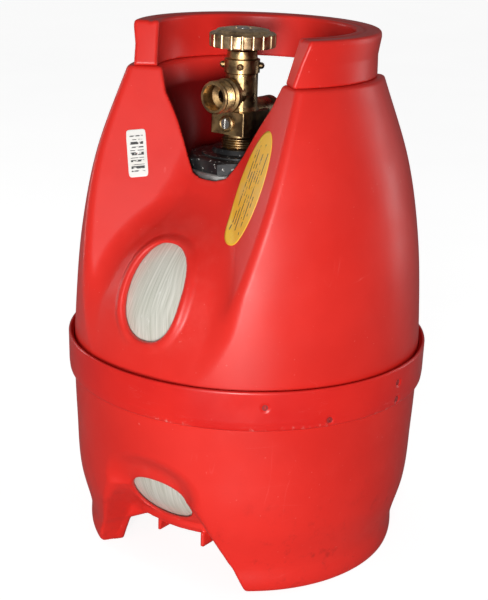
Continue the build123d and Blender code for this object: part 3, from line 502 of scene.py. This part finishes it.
def collar_field(x, y, z):
    """Open collar: bead at the rim, shallow groove on top, slanted ends at the front."""
    reach = np.hypot(x, y)
    outer = reach - np.interp(
        z, (SHOULDER_Z, *COLLAR_BEAD_Z, COLLAR_TOP_Z),
        (COLLAR_R, COLLAR_NECK_R, COLLAR_BEAD_R - 0.8, COLLAR_BEAD_R, COLLAR_BEAD_R - 0.4),
    )
    ring = common(outer, COLLAR_INNER_R - reach, 1)
    ring = common(ring, z - COLLAR_TOP_Z, 2.4)
    groove = np.hypot(reach - GROOVE_R, z - COLLAR_TOP_Z - GROOVE_LIFT) - GROOVE_SIZE
    ring = cut(ring, groove, 0.8)
    ring = np.maximum(ring, SHOULDER_Z + 0.3 - z)
    lean = np.interp(z, (SHOULDER_Z, COLLAR_TOP_Z), GAP_ANGLES)
    angle = np.degrees(np.arctan2(np.abs(x), -y))
    gap = np.radians(lean - angle) * reach
    return common(ring, gap, 2.5)


# ---- materials -----------------------------------------------------------


class Nodes:
    """Short calls for building one node material."""

    def __init__(self, name):
        self.material = bpy.data.materials.new(name)
        self.material.use_nodes = True
        self.tree = self.material.node_tree
        self.shader = self.tree.nodes["Principled BSDF"]
        self.place = self.add("ShaderNodeTexCoord").outputs["Object"]

    def add(self, kind, inputs=None, **settings):
        node = self.tree.nodes.new(kind)
        for key, value in settings.items():
            setattr(node, key, value)
        for key, value in (inputs or {}).items():
            self.give(node.inputs[key], value)
        return node

    def give(self, socket, value):
        if isinstance(value, bpy.types.NodeSocket):
            self.tree.links.new(value, socket)
        else:
            socket.default_value = value

    def stretched(self, scale):
        node = self.add("ShaderNodeMapping", {"Vector": self.place, "Scale": scale})
        return node.outputs["Vector"]

    def noise(self, scale, detail=4.0, stretch=None, rough=0.55, place=None):
        source = place or (self.stretched(stretch) if stretch else self.place)
        node = self.add("ShaderNodeTexNoise", {
            "Vector": source, "Scale": scale, "Detail": detail, "Roughness": rough,
        })
        return node.outputs["Fac"]

    def ramp(self, value, low, high, out_low=0.0, out_high=1.0):
        node = self.add("ShaderNodeMapRange", {
            "Value": value, "From Min": low, "From Max": high,
            "To Min": out_low, "To Max": out_high,
        }, interpolation_type="SMOOTHSTEP")
        return node.outputs["Result"]

    def math(self, operation, a, b=0.0):
        node = self.add("ShaderNodeMath", {0: a, 1: b}, operation=operation)
        return node.outputs["Value"]

    def mix(self, share, a, b):
        node = self.add("ShaderNodeMix", data_type="RGBA")
        self.give(node.inputs["Factor"], share)
        self.give(node.inputs["A"], a)
        self.give(node.inputs["B"], b)
        return node.outputs["Result"]

    def attribute(self, name):
        return self.add("ShaderNodeAttribute", attribute_name=name).outputs["Fac"]

    def height(self, axis="Z"):
        return self.add("ShaderNodeSeparateXYZ", {"Vector": self.place}).outputs[axis]

    def bump(self, value, distance, strength=1.0):
        node = self.add("ShaderNodeBump", {
            "Height": value, "Distance": distance, "Strength": strength,
        })
        self.give(self.shader.inputs["Normal"], node.outputs["Normal"])

    def finish(self, **inputs):
        for key, value in inputs.items():
            self.give(self.shader.inputs[key.replace("_", " ")], value)
        return self.material


def scratches(n, scale, stretch, width):
    """Thin light lines where a stretched noise crosses its middle."""
    value = n.noise(scale, 2.0, stretch, 0.5)
    off = n.math("ABSOLUTE", n.math("SUBTRACT", value, 0.5))
    return n.ramp(off, width, 0.0)


def jacket_material():
    """Red moulded plastic: faint scratches and flecks, worn edges, grime low down, and painted
    shade with less gloss deep in the valve well.
    """
    n = Nodes("jacket_red")
    broad = n.noise(9.0, 3.0)
    red = n.mix(n.ramp(broad, 0.3, 0.7), (0.70, 0.020, 0.013, 1), (0.78, 0.027, 0.018, 1))
    haze = n.ramp(n.noise(38.0, 6.0), 0.55, 0.8, 0.0, 0.06)
    red = n.mix(haze, red, (0.85, 0.08, 0.06, 1))
    low = n.ramp(n.height(), 0.13, 0.0)
    grime = n.math("MULTIPLY", low, n.ramp(n.noise(55.0, 8.0, rough=0.7), 0.52, 0.72))
    red = n.mix(n.math("MULTIPLY", grime, 0.5), red, (0.30, 0.012, 0.010, 1))
    fine = scratches(n, 34.0, (1, 1, 0.10), 0.004)
    cross = scratches(n, 28.0, (0.2, 0.2, 1.6), 0.003)
    patchy = n.ramp(n.noise(16.0, 3.0), 0.58, 0.70)
    lines = n.math("MULTIPLY", n.math("MAXIMUM", fine, cross), patchy)
    red = n.mix(n.math("MULTIPLY", lines, 0.16), red, (0.95, 0.35, 0.32, 1))
    fleck = n.ramp(n.noise(330.0, 2.0), 0.72, 0.78)
    red = n.mix(n.math("MULTIPLY", fleck, 0.25), red, (0.90, 0.35, 0.30, 1))
    worn = n.math("MULTIPLY", n.attribute("edge_wear"), n.ramp(n.noise(70.0, 6.0), 0.4, 0.7))
    red = n.mix(n.math("MULTIPLY", worn, 0.06), red, (0.92, 0.22, 0.18, 1))
    rough = n.ramp(n.noise(24.0, 5.0), 0.3, 0.75, 0.34, 0.46)
    grain = n.math("ADD", n.noise(420.0, 3.0), n.math("MULTIPLY", lines, -0.6))
    n.bump(grain, 0.00006, 0.5)
    # painted shade: the valve well is darkened towards its depth and loses its gloss
    well_shade = n.attribute("well_painted_shade")
    red = n.mix(well_shade, red, (0.07, 0.001, 0.002, 1))
    gloss = n.math("MULTIPLY", n.math("SUBTRACT", 1.0, well_shade), 0.4)
    return n.finish(Base_Color=red, Roughness=rough, Specular_IOR_Level=gloss)


def band_material():
    """The same red, rubbed pale in patches along the lower edge."""
    n = Nodes("band_red")
    broad = n.ramp(n.noise(11.0, 3.0), 0.3, 0.7)
    red = n.mix(broad, (0.66, 0.013, 0.010, 1), (0.76, 0.020, 0.013, 1))
    scuff = n.ramp(n.noise(260.0, 6.0, (1, 1, 0.6), 0.75), 0.52, 0.66)
    scuff = n.math("MULTIPLY", scuff, n.ramp(n.noise(14.0, 2.0), 0.46, 0.60))
    foot = n.math("MULTIPLY", scuff, n.attribute("foot_scuff"))
    run = scratches(n, 30.0, (1, 1, 7), 0.004)
    run = n.math("MULTIPLY", run, n.ramp(n.noise(17.0, 3.0), 0.5, 0.66))
    red = n.mix(n.math("MULTIPLY", run, 0.2), red, (0.95, 0.50, 0.46, 1))
    red = n.mix(n.math("MULTIPLY", foot, 0.75), red, (0.88, 0.42, 0.38, 1))
    rough = n.ramp(n.noise(30.0, 5.0), 0.3, 0.75, 0.28, 0.42)
    n.bump(n.math("ADD", n.noise(380.0, 3.0), foot), 0.00008, 0.6)
    return n.finish(Base_Color=red, Roughness=rough, Specular_IOR_Level=0.4)


def winding_material():
    """Glass fibre in clear resin: fine pale strands that lie close to upright."""
    n = Nodes("glass_winding")
    turn = n.attribute("turn_angle")
    rise = n.attribute("rise")
    fibre = []
    for lean, scale in ((0.22, 420.0), (-0.10, 380.0)):
        lay = n.math("ADD", turn, n.math("MULTIPLY", rise, lean))
        line = n.add("ShaderNodeCombineXYZ", {"X": lay, "Y": n.math("MULTIPLY", rise, 0.02)})
        fibre.append(n.noise(scale, 5.0, place=line.outputs["Vector"], rough=0.7))
    patch = n.ramp(n.noise(17.0, 2.0), 0.42, 0.58)
    mixed = n.add("ShaderNodeMix", data_type="FLOAT")
    n.give(mixed.inputs["Factor"], patch)
    n.give(mixed.inputs["A"], fibre[0])
    n.give(mixed.inputs["B"], fibre[1])
    streak = mixed.outputs["Result"]
    cream = n.mix(n.ramp(streak, 0.30, 0.70), (0.46, 0.46, 0.38, 1), (0.78, 0.77, 0.70, 1))
    shade = n.ramp(n.noise(14.0, 3.0), 0.42, 0.66, 0.0, 0.35)
    cream = n.mix(shade, cream, (0.50, 0.52, 0.41, 1))
    fleck = n.ramp(n.noise(150.0, 2.0, (1, 1, 0.25)), 0.68, 0.76)
    cream = n.mix(n.math("MULTIPLY", fleck, 0.6), cream, (0.90, 0.90, 0.87, 1))
    n.bump(streak, 0.0002, 0.5)
    return n.finish(Base_Color=cream, Roughness=0.4, Coat_Weight=0.3, Coat_Roughness=0.2)


def brass_material(name, bright, tarnish, amount, shade_share):
    """Brass with blotches of tarnish, and painted shade darkening it towards its right and back.
    """
    n = Nodes(name)
    blotch = n.ramp(n.noise(70.0, 6.0, rough=0.65), 0.62 - amount * 0.3, 0.75 - amount * 0.2)
    metal = n.mix(blotch, bright, tarnish)
    spot = n.ramp(n.noise(260.0, 4.0), 0.6, 0.75)
    metal = n.mix(n.math("MULTIPLY", spot, 0.5), metal, tarnish)
    # painted shade: darker towards +X and +Y, the side turned away from the light
    shade_side = n.math("ADD", n.height("X"), n.math("MULTIPLY", n.height("Y"), 0.35))
    shade_side = n.math("ADD", shade_side, n.math("MULTIPLY", n.noise(90.0, 4.0), 0.02))
    metal = n.mix(n.ramp(shade_side, 0.0, 0.022, 0.0, shade_share), metal, (0.045, 0.030, 0.020, 1))
    rough = n.ramp(n.noise(120.0, 5.0), 0.3, 0.7, 0.26, 0.5)
    n.bump(n.noise(500.0, 4.0), 0.0001, 0.5)
    return n.finish(Base_Color=metal, Roughness=rough, Metallic=1.0)


def metal_material(name, one, two, rough_low, rough_high):
    """Bare metal, patchy between two shades."""
    n = Nodes(name)
    colour = n.mix(n.ramp(n.noise(60.0, 5.0), 0.35, 0.7), one, two)
    rough = n.ramp(n.noise(150.0, 5.0), 0.3, 0.7, rough_low, rough_high)
    n.bump(n.noise(600.0, 3.0), 0.00006, 0.4)
    return n.finish(Base_Color=colour, Roughness=rough, Metallic=1.0)


def chipped_material():
    """Black paint with small chips that show bare metal."""
    n = Nodes("black_metal")
    broad = n.ramp(n.noise(60.0, 5.0), 0.35, 0.7)
    paint = n.mix(broad, (0.012, 0.012, 0.013, 1), (0.035, 0.033, 0.032, 1))
    chips = n.ramp(n.noise(240.0, 3.0, rough=0.6), 0.64, 0.67)
    colour = n.mix(chips, paint, (0.62, 0.60, 0.56, 1))
    rough = n.ramp(n.noise(90.0, 5.0), 0.3, 0.7, 0.25, 0.5)
    n.bump(n.math("SUBTRACT", 1.0, chips), 0.0002, 0.6)
    return n.finish(Base_Color=colour, Roughness=rough, Specular_IOR_Level=0.25)


def plain_material(name, one, two, rough_low, rough_high):
    """Rubber or plastic, patchy between two shades."""
    n = Nodes(name)
    colour = n.mix(n.ramp(n.noise(45.0, 5.0), 0.35, 0.7), one, two)
    rough = n.ramp(n.noise(90.0, 5.0), 0.3, 0.7, rough_low, rough_high)
    n.bump(n.noise(350.0, 3.0), 0.00008, 0.4)
    return n.finish(Base_Color=colour, Roughness=rough)


def bars(n, along, across, rows):
    """Share of ink from rows of (start, end, low, high) printed bars."""
    ink = 0.0
    for start, end, low, high in rows:
        after, before = n.math("GREATER_THAN", along, start), n.math("LESS_THAN", along, end)
        above, below = n.math("GREATER_THAN", across, low), n.math("LESS_THAN", across, high)
        inside = n.math("MULTIPLY", after, before)
        level = n.math("MULTIPLY", above, below)
        ink = n.math("MAXIMUM", ink, n.math("MULTIPLY", inside, level))
    return ink


def label_material(name, paper, ink_colour, rows):
    """Stained sticker paper with worn printed bars."""
    n = Nodes(name)
    along = n.attribute("label_along")
    across = n.attribute("label_across")
    paper = n.mix(n.ramp(n.noise(80.0, 5.0), 0.45, 0.75, 0.0, 0.25), paper, (0.60, 0.55, 0.42, 1))
    wear = n.ramp(n.noise(240.0, 5.0), 0.42, 0.50)
    ink = n.math("MULTIPLY", bars(n, along, across, rows), wear)
    colour = n.mix(ink, paper, ink_colour)
    n.bump(n.noise(200.0, 3.0), 0.0001, 0.3)
    return n.finish(Base_Color=colour, Roughness=0.35)


# ---- pieces --------------------------------------------------------------


JACKET_STEP = 1.6               # grid spacing of the jacket's mesh
JACKET_MARGIN = 3.0             # how far its grid runs past the jacket
JACKET_LOW_Z = -4.8             # where the grid starts under the floor
JACKET_WEAR_REACH = 3.0
JACKET_WEAR_FROM = 0.22
JACKET_WEAR_GAIN = 3.0


def half_jacket(name, field, low_z, high_z, red):
    """Half of the jacket meshed from its field, with its wear and its valve well's painted shade.
    """
    values, origin = sample_half(field, SHELL_R + JACKET_MARGIN, low_z, high_z, JACKET_STEP)
    points, quads = field_net(values, origin, JACKET_STEP)
    points = settle(field, points, 3, 0.45 * JACKET_STEP)
    piece = mesh_piece(name, points, quads, red)
    worn = wear_of(field, points, JACKET_WEAR_REACH)
    store(piece, "edge_wear", np.clip((worn - JACKET_WEAR_FROM) * JACKET_WEAR_GAIN, 0, 1))
    # painted shade of the valve well, for the material to read
    store(piece, "well_painted_shade", well_painted_shade(*points.T))
    return piece


def make_jacket(red):
    """The two half jackets, each one closed mesh."""
    low_z, high_z = JOINT_Z - JACKET_MARGIN, SHOULDER_Z + JACKET_MARGIN
    upper = half_jacket("upper_jacket", upper_field, low_z, high_z, red)
    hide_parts("upper_shell")
    low_z, high_z = JACKET_LOW_Z, JOINT_Z + JACKET_MARGIN
    lower = half_jacket("lower_jacket", lower_field, low_z, high_z, red)
    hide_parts("lower_shell")


def make_collar(red):
    """The open carrying collar."""
    half = COLLAR_BEAD_R + COLLAR_MARGIN
    side = np.arange(-half, half, COLLAR_STEP)
    tall = np.arange(SHOULDER_Z - COLLAR_MARGIN, COLLAR_TOP_Z + COLLAR_MARGIN, COLLAR_STEP)
    x, y, z = np.meshgrid(side, side, tall, indexing="ij")
    values = collar_field(x, y, z)
    points, quads = field_net(values, np.array([side[0], side[0], tall[0]]), COLLAR_STEP)
    points = settle(collar_field, points, 3, 0.5)
    collar = mesh_piece("collar_ring", points, quads, red)
    worn = wear_of(collar_field, points, 2.0)
    store(collar, "edge_wear", np.clip(worn * 2.0, 0, 1))
    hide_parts("carry_collar")


def lathe(outline, turns):
    """Points and quads of a closed (radius, z) outline turned about Z."""
    angle = np.arange(turns) * tau / turns
    reach = np.array([p[0] for p in outline])
    tall = np.array([p[1] for p in outline])
    x = np.outer(np.sin(angle), reach)
    y = np.outer(-np.cos(angle), reach)
    z = np.tile(tall, (turns, 1))
    points = np.stack([x, y, z], 2).reshape(-1, 3)
    rows = len(outline)
    i, j = np.meshgrid(np.arange(turns), np.arange(rows), indexing="ij")
    after, beside = (i + 1) % turns, (j + 1) % rows
    quads = np.stack(
        [i * rows + j, after * rows + j, after * rows + beside, i * rows + beside], 2
    )
    return points, quads.reshape(-1, 4)


def spread(points, spacing):
    """More points along an outline, no further apart than the spacing."""
    result = []
    for a, b in zip(points, points[1:] + points[:1]):
        length = np.hypot(b[0] - a[0], b[1] - a[1])
        count = max(1, int(np.ceil(length / spacing)))
        start, span = np.array(a), np.array(b) - np.array(a)
        result += [tuple(start + span * t / count) for t in range(count)]
    return result


PIN_PLACES = [(angle, 173.0) for angle in (-138, -90, -42, 42, 90, 138)]
PIN_PLACES += [(angle, 158.5) for angle in (-118, -90, -62, 62, 90, 118)]
PIN_DIMPLE_R = 3.4
PIN_DIMPLE_DEPTH = 1.3
BAND_TURNS = 960
BAND_SPACING = 1.2
FRAY_HEIGHT = 2.4               # the band's lower edge is nibbled up to here
FRAY_DEPTH = 0.35
BAND_SEED = 7


def band_outline():
    """Closed (radius, z) outline of the band's section."""
    low, high, r = BAND_LOW_Z, BAND_HIGH_Z, BAND_R
    return [
        (SHELL_R + 0.2, low + 0.6), (SHELL_R + 0.8, low), (r - 2.2, low), (r - 1.4, low + 0.5),
        (r - 1.0, low + 1.6), (r - 0.4, low + 7), (r - 0.05, high - 6), (r, high - 1.6),
        (r - 0.3, high - 0.5), (r - 0.9, high), (r - 1.7, high - 0.1), (r - 2.3, high - 0.8),
        (r - 3.0, high - 3.0), (SHELL_R + 0.2, high - 4.2),
    ]


def pin_dimples(points, outer):
    """How far the band's face is pushed in round its pins."""
    angle = np.degrees(np.arctan2(points[:, 0], -points[:, 1]))
    push = np.zeros(len(points))
    for pin_angle, pin_z in PIN_PLACES:
        away = (angle - pin_angle + 180) % 360 - 180
        apart = np.hypot(np.radians(away) * BAND_R, points[:, 2] - pin_z)
        dimple = PIN_DIMPLE_DEPTH * np.clip(1 - (apart / PIN_DIMPLE_R) ** 4, 0, 1) ** 0.7
        push += np.where(outer, dimple, 0)
    return push


def nibbled_edge(points, outer):
    """How far the band's lower edge is worn in, a little differently all the way round."""
    rng = np.random.default_rng(BAND_SEED)
    frayed = np.interp(points[:, 2], (BAND_LOW_Z, BAND_LOW_Z + FRAY_HEIGHT), (1, 0)) * outer
    chips = rng.normal(0, 1, BAND_TURNS)
    chips = np.convolve(np.tile(chips, 3), np.ones(3) / 3, "same")[BAND_TURNS:2 * BAND_TURNS]
    return FRAY_DEPTH * np.abs(np.repeat(chips, len(points) // BAND_TURNS)) * frayed


def make_band(red):
    """Band round the joint, with a lip at its top."""
    points, quads = lathe(spread(band_outline(), BAND_SPACING), BAND_TURNS)
    reach = np.hypot(points[:, 0], points[:, 1])
    outer = reach > BAND_R - 2.0
    push = pin_dimples(points, outer) + nibbled_edge(points, outer)
    points[:, :2] *= (1 - push / reach)[:, None]
    band = mesh_piece("band_ring", points, quads[:, ::-1], red)
    low = BAND_LOW_Z
    scuff = np.interp(points[:, 2], (low, low + 1.5, low + 4.5), (1, 0.8, 0)) * outer
    store(band, "foot_scuff", scuff)
    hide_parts("joint_band")


DOME_POWER = 0.999
WEAVE_COUNT = 7                 # helical bands each way round
WEAVE_PITCH = 0.12              # their turn for each millimetre of height
WEAVE_SWELL = 0.07
WEAVE_SINK = 0.2                # keeps the bands inside the CAD vessel


def make_vessel(winding):
    """Wound vessel: helical bands of fibre stand a little proud of the dome."""
    rows, turns = 170, 360
    t = np.linspace(0, 1, rows)
    polar = pi * (t - 0.5)
    reach = VESSEL_R * np.cos(polar) ** DOME_POWER
    tall = np.where(
        polar > 0, UPPER_DOME_Z + (VESSEL_TOP_Z - UPPER_DOME_Z) * np.sin(polar),
        LOWER_DOME_Z - (LOWER_DOME_Z - VESSEL_BOTTOM_Z) * np.sin(-polar),
    )
    angle = np.arange(turns) * tau / turns
    a, r = np.meshgrid(angle, np.maximum(reach, 0.4), indexing="ij")
    z = np.tile(tall, (turns, 1))
    one, two = WEAVE_COUNT * a + z * WEAVE_PITCH, WEAVE_COUNT * a - z * WEAVE_PITCH
    weave = np.maximum(np.sin(one), np.sin(two))
    swell = WEAVE_SWELL * weave * np.minimum(1, r / 60) - WEAVE_SINK
    x, y = (r + swell) * np.sin(a), -(r + swell) * np.cos(a)
    points = np.stack([x, y, z], 2).reshape(-1, 3)
    i, j = np.meshgrid(np.arange(turns), np.arange(rows - 1), indexing="ij")
    after = (i + 1) % turns
    quads = np.stack(
        [i * rows + j, after * rows + j, after * rows + j + 1, i * rows + j + 1], 2
    )
    vessel = mesh_piece("wound_vessel", points, quads.reshape(-1, 4), winding)
    store(vessel, "turn_angle", (a * VESSEL_R * MM).ravel())
    store(vessel, "rise", (z * MM).ravel())
    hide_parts("composite_wrap")


LABEL_LIFT = 0.25
LABEL_SINK = 0.1                # the sticker's back edge goes this far into the flank
LABEL_RINGS = 24
LABEL_TURNS = 96
FLANK_UP = (0.175, 0.289, 0.941)
OVAL_HALF = (20.2, 46.2)
CARD_HALF = (8.0, 19.4)
CARD_POWER = 12


def flank_frame(side):
    """Across and up directions on a flank, with its outward normal."""
    normal = Vector((side * FLANK_NORMAL[0], FLANK_NORMAL[1], FLANK_NORMAL[2])).normalized()
    up = Vector((side * FLANK_UP[0], FLANK_UP[1], FLANK_UP[2])).normalized()
    return up.cross(normal), up, normal


def sticker_quads(rings, turns):
    """Quads from ring to ring across the face, then round the edge to the ring behind it."""
    quads = []
    for ring in range(rings - 1):
        for i in range(turns):
            k = (i + 1) % turns
            here, inward = ring * turns, (ring + 1) * turns
            quads.append((here + i, here + k, inward + k, inward + i))
    base = rings * turns
    for i in range(turns):
        k = (i + 1) % turns
        quads.append((base + i, base + k, k, i))
    return quads


def make_label(name, node, side, outline, turn, material):
    """Sticker laid on a flank: outline(angle) gives its half sizes across and up."""
    low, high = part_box(node)
    centre = np.array((low + high) / 2) / MM
    across, up, normal = (np.array(v) for v in flank_frame(side))
    rings, turns = LABEL_RINGS, LABEL_TURNS
    angle = np.arange(turns) * tau / turns
    u, v = outline(angle)
    scale = np.linspace(1, 0.02, rings)[:, None]
    u, v = (scale * u).ravel(), (scale * v).ravel()
    c, s = cos(radians(turn)), sin(radians(turn))
    flat = np.outer(u * c - v * s, across) + np.outer(u * s + v * c, up)
    points = centre + flat
    for _ in range(4):
        depth = upper_field(*points.T)
        points = points - np.clip(depth, -1.0, 1.0)[:, None] * normal
    face = points + normal * LABEL_LIFT
    back = points[:turns] - normal * LABEL_SINK
    points = np.concatenate([face, back])
    label = mesh_piece(name, points, sticker_quads(rings, turns), material)
    store(label, "label_along", np.concatenate([v, v[:turns]]))
    store(label, "label_across", np.concatenate([u, u[:turns]]))
    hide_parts(node)


def oval(angle):
    """Outline of the yellow sticker."""
    return OVAL_HALF[0] * np.cos(angle), OVAL_HALF[1] * np.sin(angle)


def rounded_card(angle):
    """Outline of the white sticker."""
    c, s = np.cos(angle), np.sin(angle)
    near = np.abs(c / CARD_HALF[0]) ** CARD_POWER + np.abs(s / CARD_HALF[1]) ** CARD_POWER
    size = near ** (-1 / CARD_POWER)
    return size * c, size * s


def dress_nodes():
    """Procedural finishes on the CAD nodes that stay as they are."""
    # the last number of each brass finish is its share of painted shade on the side away from the
    # light
    wheel = brass_material("wheel_brass", (0.80, 0.57, 0.33, 1), (0.34, 0.23, 0.13, 1), 0.6, 0.2)
    finishes = {
        "valve_brass": brass_material(
            "valve_brass", (0.66, 0.44, 0.20, 1), (0.24, 0.15, 0.075, 1), 0.75, 0.9
        ),
        "dark_brass": brass_material(
            "dark_brass", (0.16, 0.11, 0.07, 1), (0.05, 0.035, 0.03, 1), 0.5, 0.5
        ),
        "steel": metal_material(
            "steel", (0.62, 0.61, 0.58, 1), (0.42, 0.41, 0.39, 1), 0.22, 0.4
        ),
        "boss_metal": metal_material(
            "boss_metal", (0.55, 0.54, 0.52, 1), (0.36, 0.35, 0.34, 1), 0.45, 0.65
        ),
        "black_metal": chipped_material(),
        "seal_rubber": plain_material(
            "seal_rubber", (0.02, 0.02, 0.02, 1), (0.04, 0.04, 0.04, 1), 0.5, 0.7
        ),
        "liner_plastic": plain_material(
            "liner_plastic", (0.55, 0.53, 0.46, 1), (0.65, 0.63, 0.56, 1), 0.4, 0.5
        ),
    }
    for name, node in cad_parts.items():
        for place in node.material_slots:
            kind = place.material.name.split(".")[0] if place.material else ""
            if kind in finishes:
                place.material = finishes[kind]
    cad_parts["handwheel"].material_slots[0].material = wheel


# ---- stage, lights and camera --------------------------------------------
FLOOR_HALF = 6.0
FLOOR_ROWS = 24
FLOOR_GLOW = 0.86
FILL_LEVEL = 0.18
AIM_Z = 0.22                    # lights are placed about this height and aim near it
CAMERA_PLACE = (0.6387, -0.8791, 0.5686)
CAMERA_FORWARD = (-0.56031, 0.76638, -0.31418)
CAMERA_ROLL = 0.0324
CAMERA_LENS = 79.8
CAMERA_SENSOR = 36.0


def floor_material():
    """Pale grey that glows a little to the camera, so the floor shows evenly bright."""
    n = Nodes("pale_floor")
    broad = n.ramp(n.noise(3.0, 3.0), 0.3, 0.7)
    pale = n.mix(broad, (0.42, 0.42, 0.42, 1), (0.46, 0.46, 0.46, 1))
    matt = n.finish(Base_Color=pale, Roughness=0.9).node_tree
    glow = n.add("ShaderNodeEmission", {"Color": (1, 1, 1, 1), "Strength": FLOOR_GLOW})
    shown = n.add("ShaderNodeAddShader", {0: n.shader.outputs[0], 1: glow.outputs[0]})
    seen = n.add("ShaderNodeLightPath").outputs["Is Camera Ray"]
    both = n.add("ShaderNodeMixShader", {0: seen, 1: n.shader.outputs[0], 2: shown.outputs[0]})
    matt.links.new(both.outputs[0], matt.nodes["Material Output"].inputs["Surface"])
    return n.material


def make_stage():
    """Floor, flat and well past the frame."""
    side = np.linspace(-FLOOR_HALF, FLOOR_HALF, FLOOR_ROWS)
    x, y = np.meshgrid(side, side, indexing="ij")
    points = np.stack([x, y, np.zeros_like(x)], 2).reshape(-1, 3)
    quads = []
    for i in range(FLOOR_ROWS - 1):
        for j in range(FLOOR_ROWS - 1):
            near, far = i * FLOOR_ROWS + j, (i + 1) * FLOOR_ROWS + j
            quads.append((near, far, far + 1, near + 1))
    mesh = bpy.data.meshes.new("floor")
    mesh.from_pydata(points.tolist(), [], quads)
    mesh.materials.append(floor_material())
    floor = bpy.data.objects.new("floor", mesh)
    bpy.context.scene.collection.objects.link(floor)


def make_world():
    """White to the camera, a weak fill to everything else."""
    world = bpy.data.worlds.new("studio")
    world.use_nodes = True
    tree = world.node_tree
    path = tree.nodes.new("ShaderNodeLightPath")
    level = tree.nodes.new("ShaderNodeMapRange")
    level.inputs["To Min"].default_value = FILL_LEVEL
    level.inputs["To Max"].default_value = 1.0
    tree.links.new(path.outputs["Is Camera Ray"], level.inputs["Value"])
    tree.links.new(level.outputs["Result"], tree.nodes["Background"].inputs["Strength"])
    tree.nodes["Background"].inputs["Color"].default_value = (1, 1, 1, 1)
    bpy.context.scene.world = world


def softbox(name, place, aim, size, power):
    """Area light at a place, turned to its aim."""
    light = bpy.data.lights.new(name, "AREA")
    light.shape = "RECTANGLE"
    light.size, light.size_y = size
    light.energy = power
    holder = bpy.data.objects.new(name, light)
    holder.location = place
    holder.rotation_euler = (Vector(aim) - Vector(place)).to_track_quat("-Z", "Y").to_euler()
    bpy.context.scene.collection.objects.link(holder)


def from_side(angle, rise, distance):
    """Place at an angle from the front, positive towards +X, and a rise above level."""
    level = distance * cos(radians(rise))
    turn = radians(angle)
    return level * sin(turn), -level * cos(turn), AIM_Z + distance * sin(radians(rise))


def make_camera():
    """Camera at the photograph's viewing angle."""
    forward = Vector(CAMERA_FORWARD).normalized()
    level = forward.cross(Vector((0, 0, 1))).normalized()
    upright = level.cross(forward)
    right = level * cos(CAMERA_ROLL) + upright * sin(CAMERA_ROLL)
    up = upright * cos(CAMERA_ROLL) - level * sin(CAMERA_ROLL)
    turn = Matrix((right, up, -forward)).transposed()
    data = bpy.data.cameras.new("camera")
    data.lens = CAMERA_LENS
    data.sensor_width = CAMERA_SENSOR
    camera = bpy.data.objects.new("camera", data)
    camera.matrix_world = Matrix.Translation(CAMERA_PLACE) @ turn.to_4x4()
    bpy.context.scene.collection.objects.link(camera)
    bpy.context.scene.camera = camera


# ---- the whole scene -----------------------------------------------------
# Printed bars on the stickers: (start, end) along, then (low, high) across.
OVAL_LINES = (
    (-36, 30, -9.5, -8.3), (-30, 34, -5.5, -4.3), (-34, 20, -1.5, -0.3), (-28, 36, 2.5, 3.7),
    (-36, 24, 6.5, 7.7), (-20, 30, 10.5, 11.7),
)
CARD_LOW, CARD_HIGH = -5.5, 5.5
CARD_BARS = (
    (-15, -14), (-12.6, -10.4), (-9.5, -9), (-7, -5.4), (-4, -3.5), (-1.6, 0.8),
    (2, 2.6), (4.4, 5.4), (7.2, 9.4), (10.8, 11.4), (13.6, 14.6),
)
CARD_LINES = tuple((start, end, CARD_LOW, CARD_HIGH) for start, end in CARD_BARS)

red = jacket_material()
make_jacket(red)
make_collar(red)
make_band(band_material())
make_vessel(winding_material())
dress_nodes()
yellow = label_material("label_yellow", (0.92, 0.55, 0.045, 1), (0.05, 0.05, 0.04, 1), OVAL_LINES)
white = label_material("label_white", (0.85, 0.84, 0.80, 1), (0.05, 0.05, 0.05, 1), CARD_LINES)
make_label("oval_sticker", "oval_label", 1, oval, 3.0, yellow)
make_label("white_sticker", "barcode_label", -1, rounded_card, 7.7, white)

make_stage()
make_world()
softbox("key", from_side(30, 5, 2.6), (0, 0, 0.27), (0.7, 0.7), 62)
softbox("right_strip", from_side(148, 4, 1.8), (0, 0, AIM_Z), (0.25, 1.4), 6)
softbox("left_strip", from_side(-84, 4, 1.8), (0, 0, AIM_Z), (0.25, 1.4), 5)
make_camera()
bpy.context.scene.view_settings.view_transform = "Standard"
